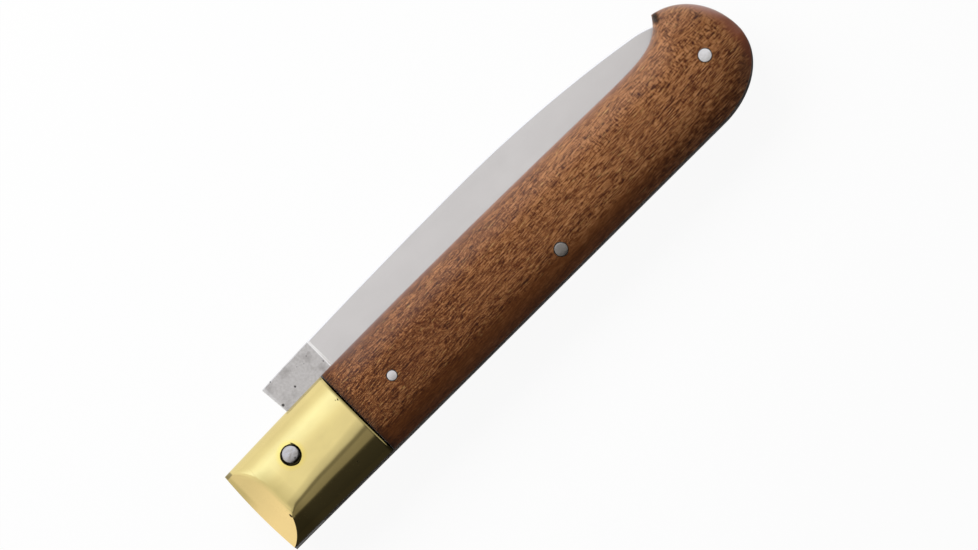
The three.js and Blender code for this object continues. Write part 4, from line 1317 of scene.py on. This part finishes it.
class KNIFE_OT_blade(bpy.types.Operator):
    """Build the blade: tang, ricasso, plunge, ground faces and edge"""

    bl_idname = "knife.blade"
    bl_label = "Blade"

    def execute(self, context):
        scene = context.scene
        blade, fit, reach = scene.knife_blade, scene.knife_fittings, scene.knife_handle.butt_reach
        start, plunge = blade.ricasso_end, blade.ricasso_end - blade.plunge
        seam = 0.6 * start  # where the tang's outline meets the first section
        whole = reach - blade.tip_setback - TIP_SHORT - start
        ground = start + whole * (1 - np.linspace(1, 0, 110) ** 1.5)  # closer together towards the tip
        xs = np.concatenate([np.linspace(seam, plunge, 8)[:-1], np.linspace(plunge, start, 7)[:-1], ground])
        rows = [self.section(blade, reach, x) for x in xs]
        columns = len(rows[0])
        points = [p for row in rows for p in row]
        faces = []
        for r in range(len(rows) - 1):
            for c in range(columns):
                n = (c + 1) % columns
                faces.append((r * columns + c, r * columns + n, (r + 1) * columns + n, (r + 1) * columns + c))
        faces.append(tuple((len(rows) - 1) * columns + c for c in range(columns)))

        upper = [i for i, p in enumerate(rows[0]) if p[2] > 0]
        lower = [i for i, p in enumerate(rows[0]) if p[2] < 0][::-1]
        tang = self.tang_outline(blade, reach, seam)
        first = len(points)
        points += [(x, y, z) for z in (BLADE_HALF, -BLADE_HALF) for x, y in tang]
        count = len(tang)
        tops = [first + i for i in range(count)]
        unders = [first + count + i for i in range(count)]
        faces += [tuple(tops + upper), tuple(unders + lower)]
        faces += [(tops[i], tops[i + 1], unders[i + 1], unders[i]) for i in range(count - 1)]
        faces += [(tops[-1], upper[0], lower[0], unders[-1]), (upper[-1], tops[0], unders[0], lower[-1])]

        piece = new_solid("blade_ground", points, faces)
        self.choose_edges(piece, blade)
        break_edges(piece, fit.blade_bevel, "WEIGHT")
        cut_away(piece, *pin_bores("pivot"))
        steel = once("Ground blade steel", blade_finish)
        finish_piece(piece, "blade", ["blade"], steel, crease=14)
        return {"FINISHED"}

    def section(self, blade, reach, x):
        """Points round the blade at x, from the spine down one side and up the other."""
        tip = reach - blade.tip_setback
        top, low = float(spine_line(blade, reach, x)), float(edge_line(blade, reach, x))
        share = max(x - tip + blade.taper, 0) / blade.taper
        spine = (BLADE_HALF - blade.grind_step) * (1 - share**2) + blade.tip_thickness / 2 * share**2
        bevel_y = low + min(blade.edge_bevel, 0.4 * (top - low))  # narrower at the tip
        ground = min(max((x - blade.ricasso_end + blade.plunge) / blade.plunge, 0), 1)
        ground = ground * ground * (3 - 2 * ground)
        half = []
        for step in np.linspace(0, 1, 12):
            face = spine + (min(blade.bevel_thickness / 2, spine) - spine) * step
            half.append((x, top + (bevel_y - top) * step, BLADE_HALF + (face - BLADE_HALF) * ground))
        half.append((x, low, BLADE_HALF + (blade.edge_thickness / 2 - BLADE_HALF) * ground))
        return half + [(px, py, -pz) for px, py, pz in half[::-1]]

    def tang_outline(self, blade, reach, seam):
        """The tang from the edge side of the seam round the lobe to the spine side."""
        turn = math.acos(blade.tang_flat / blade.tang_lobe)
        lobe = np.linspace(math.pi * 1.5 - turn, math.pi / 2 + turn, 48)
        spine = np.linspace(blade.shoulder_outer, seam, 8)[:-1]
        return [
            (blade.kick_end + blade.kick_ramp, -blade.edge_depth),
            (blade.kick_end, -blade.tang_flat),
            *((blade.tang_lobe * math.cos(a), blade.tang_lobe * math.sin(a)) for a in lobe),
            (blade.shoulder_inner, blade.tang_flat),
            *((x, float(spine_line(blade, reach, x))) for x in spine),
        ]

    def choose_edges(self, piece, blade):
        """Marks the edges of the tang and the spine to be broken, and leaves the cutting edge alone."""
        skin = bmesh.new()
        skin.from_mesh(piece.data)
        weight = skin.edges.layers.float.new("bevel_weight_edge")
        for edge in skin.edges:
            if len(edge.link_faces) == 2 and edge.calc_face_angle() > SHARP_TURN:
                x = min(v.co.x for v in edge.verts) - PIVOT.x
                y = min(v.co.y for v in edge.verts) - PIVOT.y
                on_edge = x > blade.ricasso_end - blade.plunge and y < blade.spine_crest / 2
                if not on_edge and x < blade.sharp_tip:
                    edge[weight] = 1.0
        skin.to_mesh(piece.data)
        skin.free()


class KNIFE_OT_stage(bpy.types.Operator):
    """Set the floor, the lights and the camera"""

    bl_idname = "knife.stage"
    bl_label = "Stage"

    def execute(self, context):
        scene = context.scene
        stage = scene.knife_stage
        self.floor(stage)
        self.tent(stage)
        self.dark_mat(stage, scene.knife_handle)
        self.world(scene, stage)
        self.lights(stage)
        self.camera(scene, stage)
        scene.view_settings.view_transform = "Standard"
        return {"FINISHED"}

    def card(self, name, corners, material, faces, only_reflected=True):
        """A flat or bent card of the stage."""
        mesh = bpy.data.meshes.new(name)
        mesh.from_pydata(corners, [], faces)
        mesh.materials.append(material)
        card = add_object(name, mesh)
        if only_reflected:
            card.visible_camera = False
            card.visible_diffuse = False
            card.visible_shadow = False
            card.visible_transmission = False

    def glowing(self, name, colour_at):
        """A material that gives off the colour that colour_at works out, and shows nothing else."""
        material = bpy.data.materials.new(name)
        steps = Finish(bare_tree(material))
        glow = steps.put("ShaderNodeEmission", {"Color": colour_at(steps), "Strength": 1.0})
        steps.put("ShaderNodeOutputMaterial", (glow,))
        return material

    def seen(self, steps):
        """1 for what the camera, a reflection or a clear piece sees."""
        path = steps.put("ShaderNodeLightPath").node.outputs
        return steps.most(path["Is Camera Ray"], path["Is Glossy Ray"], path["Is Transmission Ray"])

    def floor(self, stage):
        """A floor that looks white and still takes the knife's shadow."""
        material = bpy.data.materials.new("White floor")
        steps = Finish(bare_tree(material))
        matte = steps.put("ShaderNodeBsdfDiffuse", {"Color": (*stage.floor_white, 1)})
        glow = steps.put("ShaderNodeEmission", {"Color": (1, 1, 1, 1), "Strength": 1.0})
        lit = steps.put("ShaderNodeMixShader", (stage.floor_glow, matte, glow))
        both = steps.put("ShaderNodeMixShader", (self.seen(steps), matte, lit))
        steps.put("ShaderNodeOutputMaterial", (both,))
        corners = [(x * FLOOR_REACH, y * FLOOR_REACH, 0) for x, y in ((-1, -1), (1, -1), (1, 1), (-1, 1))]
        self.card("floor", corners, material, [(0, 1, 2, 3)], only_reflected=False)

    def tent(self, stage):
        """A tent that polished metal reflects, bright over the blade's side and black by the back."""

        def colour_at(steps):
            _, y, z = steps.split(steps.put("ShaderNodeTexCoord", out="Object"))
            leaning = steps.math("DEGREES", steps.math("ARCTAN2", y, z))
            return steps.ramp(steps.fit(leaning, -90, 90), [
                ((degrees + 90) / 180, [bright * (1 + cool * more) for more in COOL])
                for degrees, bright, cool in TENT
            ])

        radius = stage.tent_radius
        turns = np.radians(np.linspace(-90, 84, 59))
        ends = (-TENT_REACH, TENT_REACH)
        corners = [(x, radius * math.sin(turn), radius * math.cos(turn)) for turn in turns for x in ends]
        faces = [(2 * i, 2 * i + 1, 2 * i + 3, 2 * i + 2) for i in range(len(turns) - 1)]
        self.card("tent", corners, self.glowing("Tent", colour_at), faces)

    def dark_mat(self, stage, size):
        """A black mat beside the back, along the butt's curve, which only reflections meet."""
        material = self.glowing("Black mat", lambda steps: (*stage.mat, 1))
        turns = np.linspace(-math.pi / 2, -0.02, 24)
        rim = []
        for share, turn in zip(np.linspace(0, 1, len(turns)), turns):
            x, y = butt_point(size, turn)
            rim.append((PIVOT.x + x + MAT_GAP * share, PIVOT.y + y - MAT_GAP * (1 - share)))
        outline = [
            (-TENT_REACH, rim[0][1]), *rim, (TENT_REACH, rim[-1][1]),
            (TENT_REACH, MAT_END), (-TENT_REACH, MAT_END),
        ]
        self.card("black_mat", [(x, y, MAT_GAP) for x, y in outline], material, [tuple(range(len(outline)))])

    def world(self, scene, stage):
        """White all round, and dimmer where it lights matte surfaces."""
        world = bpy.data.worlds.new("Studio")
        steps = Finish(bare_tree(world))
        strength = steps.fit(self.seen(steps), 0, 1, stage.fill, 1.0)
        sky = steps.put("ShaderNodeBackground", {"Color": (1, 1, 1, 1), "Strength": strength})
        steps.put("ShaderNodeOutputWorld", (sky,))
        scene.world = world

    def lights(self, stage):
        """One soft lamp above the blade's side."""
        light = bpy.data.lights.new("key", "AREA")
        light.shape = "RECTANGLE"
        light.size, light.size_y = stage.key_width, stage.key_depth
        light.energy = stage.key_power
        lamp = add_object("key", light)
        lamp.location = stage.key_place
        lamp.rotation_euler = (-lamp.location).to_track_quat("-Z", "Y").to_euler()
        lamp.visible_glossy = False

    def camera(self, scene, stage):
        """Looks down on the upper side, leaning a little towards the back, with the handle turned."""
        lean, turn = stage.tilt, stage.turn
        along = Vector((1, 0, 0))
        across = Vector((0, math.cos(lean), math.sin(lean)))
        back = Vector((0, -math.sin(lean), math.cos(lean)))
        right = math.cos(turn) * along - math.sin(turn) * across
        up = math.sin(turn) * along + math.cos(turn) * across
        data = bpy.data.cameras.new("camera")
        data.lens = stage.lens
        data.sensor_width = 36
        data.clip_end = 20
        distance = stage.picture_width * data.lens / data.sensor_width
        aim = PIVOT + stage.aim_x * along + stage.aim_y * across + Vector((0, 0, HANDLE_HALF))
        camera = add_object("camera", data)
        turned = Matrix((right, up, back)).transposed().to_4x4()
        camera.matrix_world = Matrix.Translation(aim + distance * back) @ turned
        scene.camera = camera


class KNIFE_PT_sidebar(bpy.types.Panel):
    """Lists the steps in the order in which the knife is built"""

    bl_idname = "KNIFE_PT_sidebar"
    bl_label = "Folding Pocket Knife"
    bl_space_type = "VIEW_3D"
    bl_region_type = "UI"
    bl_category = "Knife"

    def draw(self, context):
        for step in STEPS:
            self.layout.operator(step.bl_idname)
        for group in GROUPS:
            box = self.layout.box()
            settings = getattr(context.scene, group)
            for key in settings.bl_rna.properties.keys():
                if key not in ("rna_type", "name"):
                    box.prop(settings, key)


STEPS = (
    KNIFE_OT_blade,
    KNIFE_OT_backspring,
    KNIFE_OT_liners,
    KNIFE_OT_bolsters,
    KNIFE_OT_scales,
    KNIFE_OT_pins,
    KNIFE_OT_stage,
)


def register():
    for group in GROUPS.values():
        bpy.utils.register_class(group)
    for name, group in GROUPS.items():
        setattr(bpy.types.Scene, name, PointerProperty(type=group))
    for step in STEPS:
        bpy.utils.register_class(step)
    bpy.utils.register_class(KNIFE_PT_sidebar)


def unregister():
    bpy.utils.unregister_class(KNIFE_PT_sidebar)
    for step in reversed(STEPS):
        bpy.utils.unregister_class(step)
    for name in GROUPS:
        delattr(bpy.types.Scene, name)
    for group in GROUPS.values():
        bpy.utils.unregister_class(group)


def main():
    register()
    bpy.ops.knife.blade()
    bpy.ops.knife.backspring()
    bpy.ops.knife.liners()
    bpy.ops.knife.bolsters()
    bpy.ops.knife.scales()
    bpy.ops.knife.pins()
    bpy.ops.knife.stage()


if __name__ == "__main__":
    main()
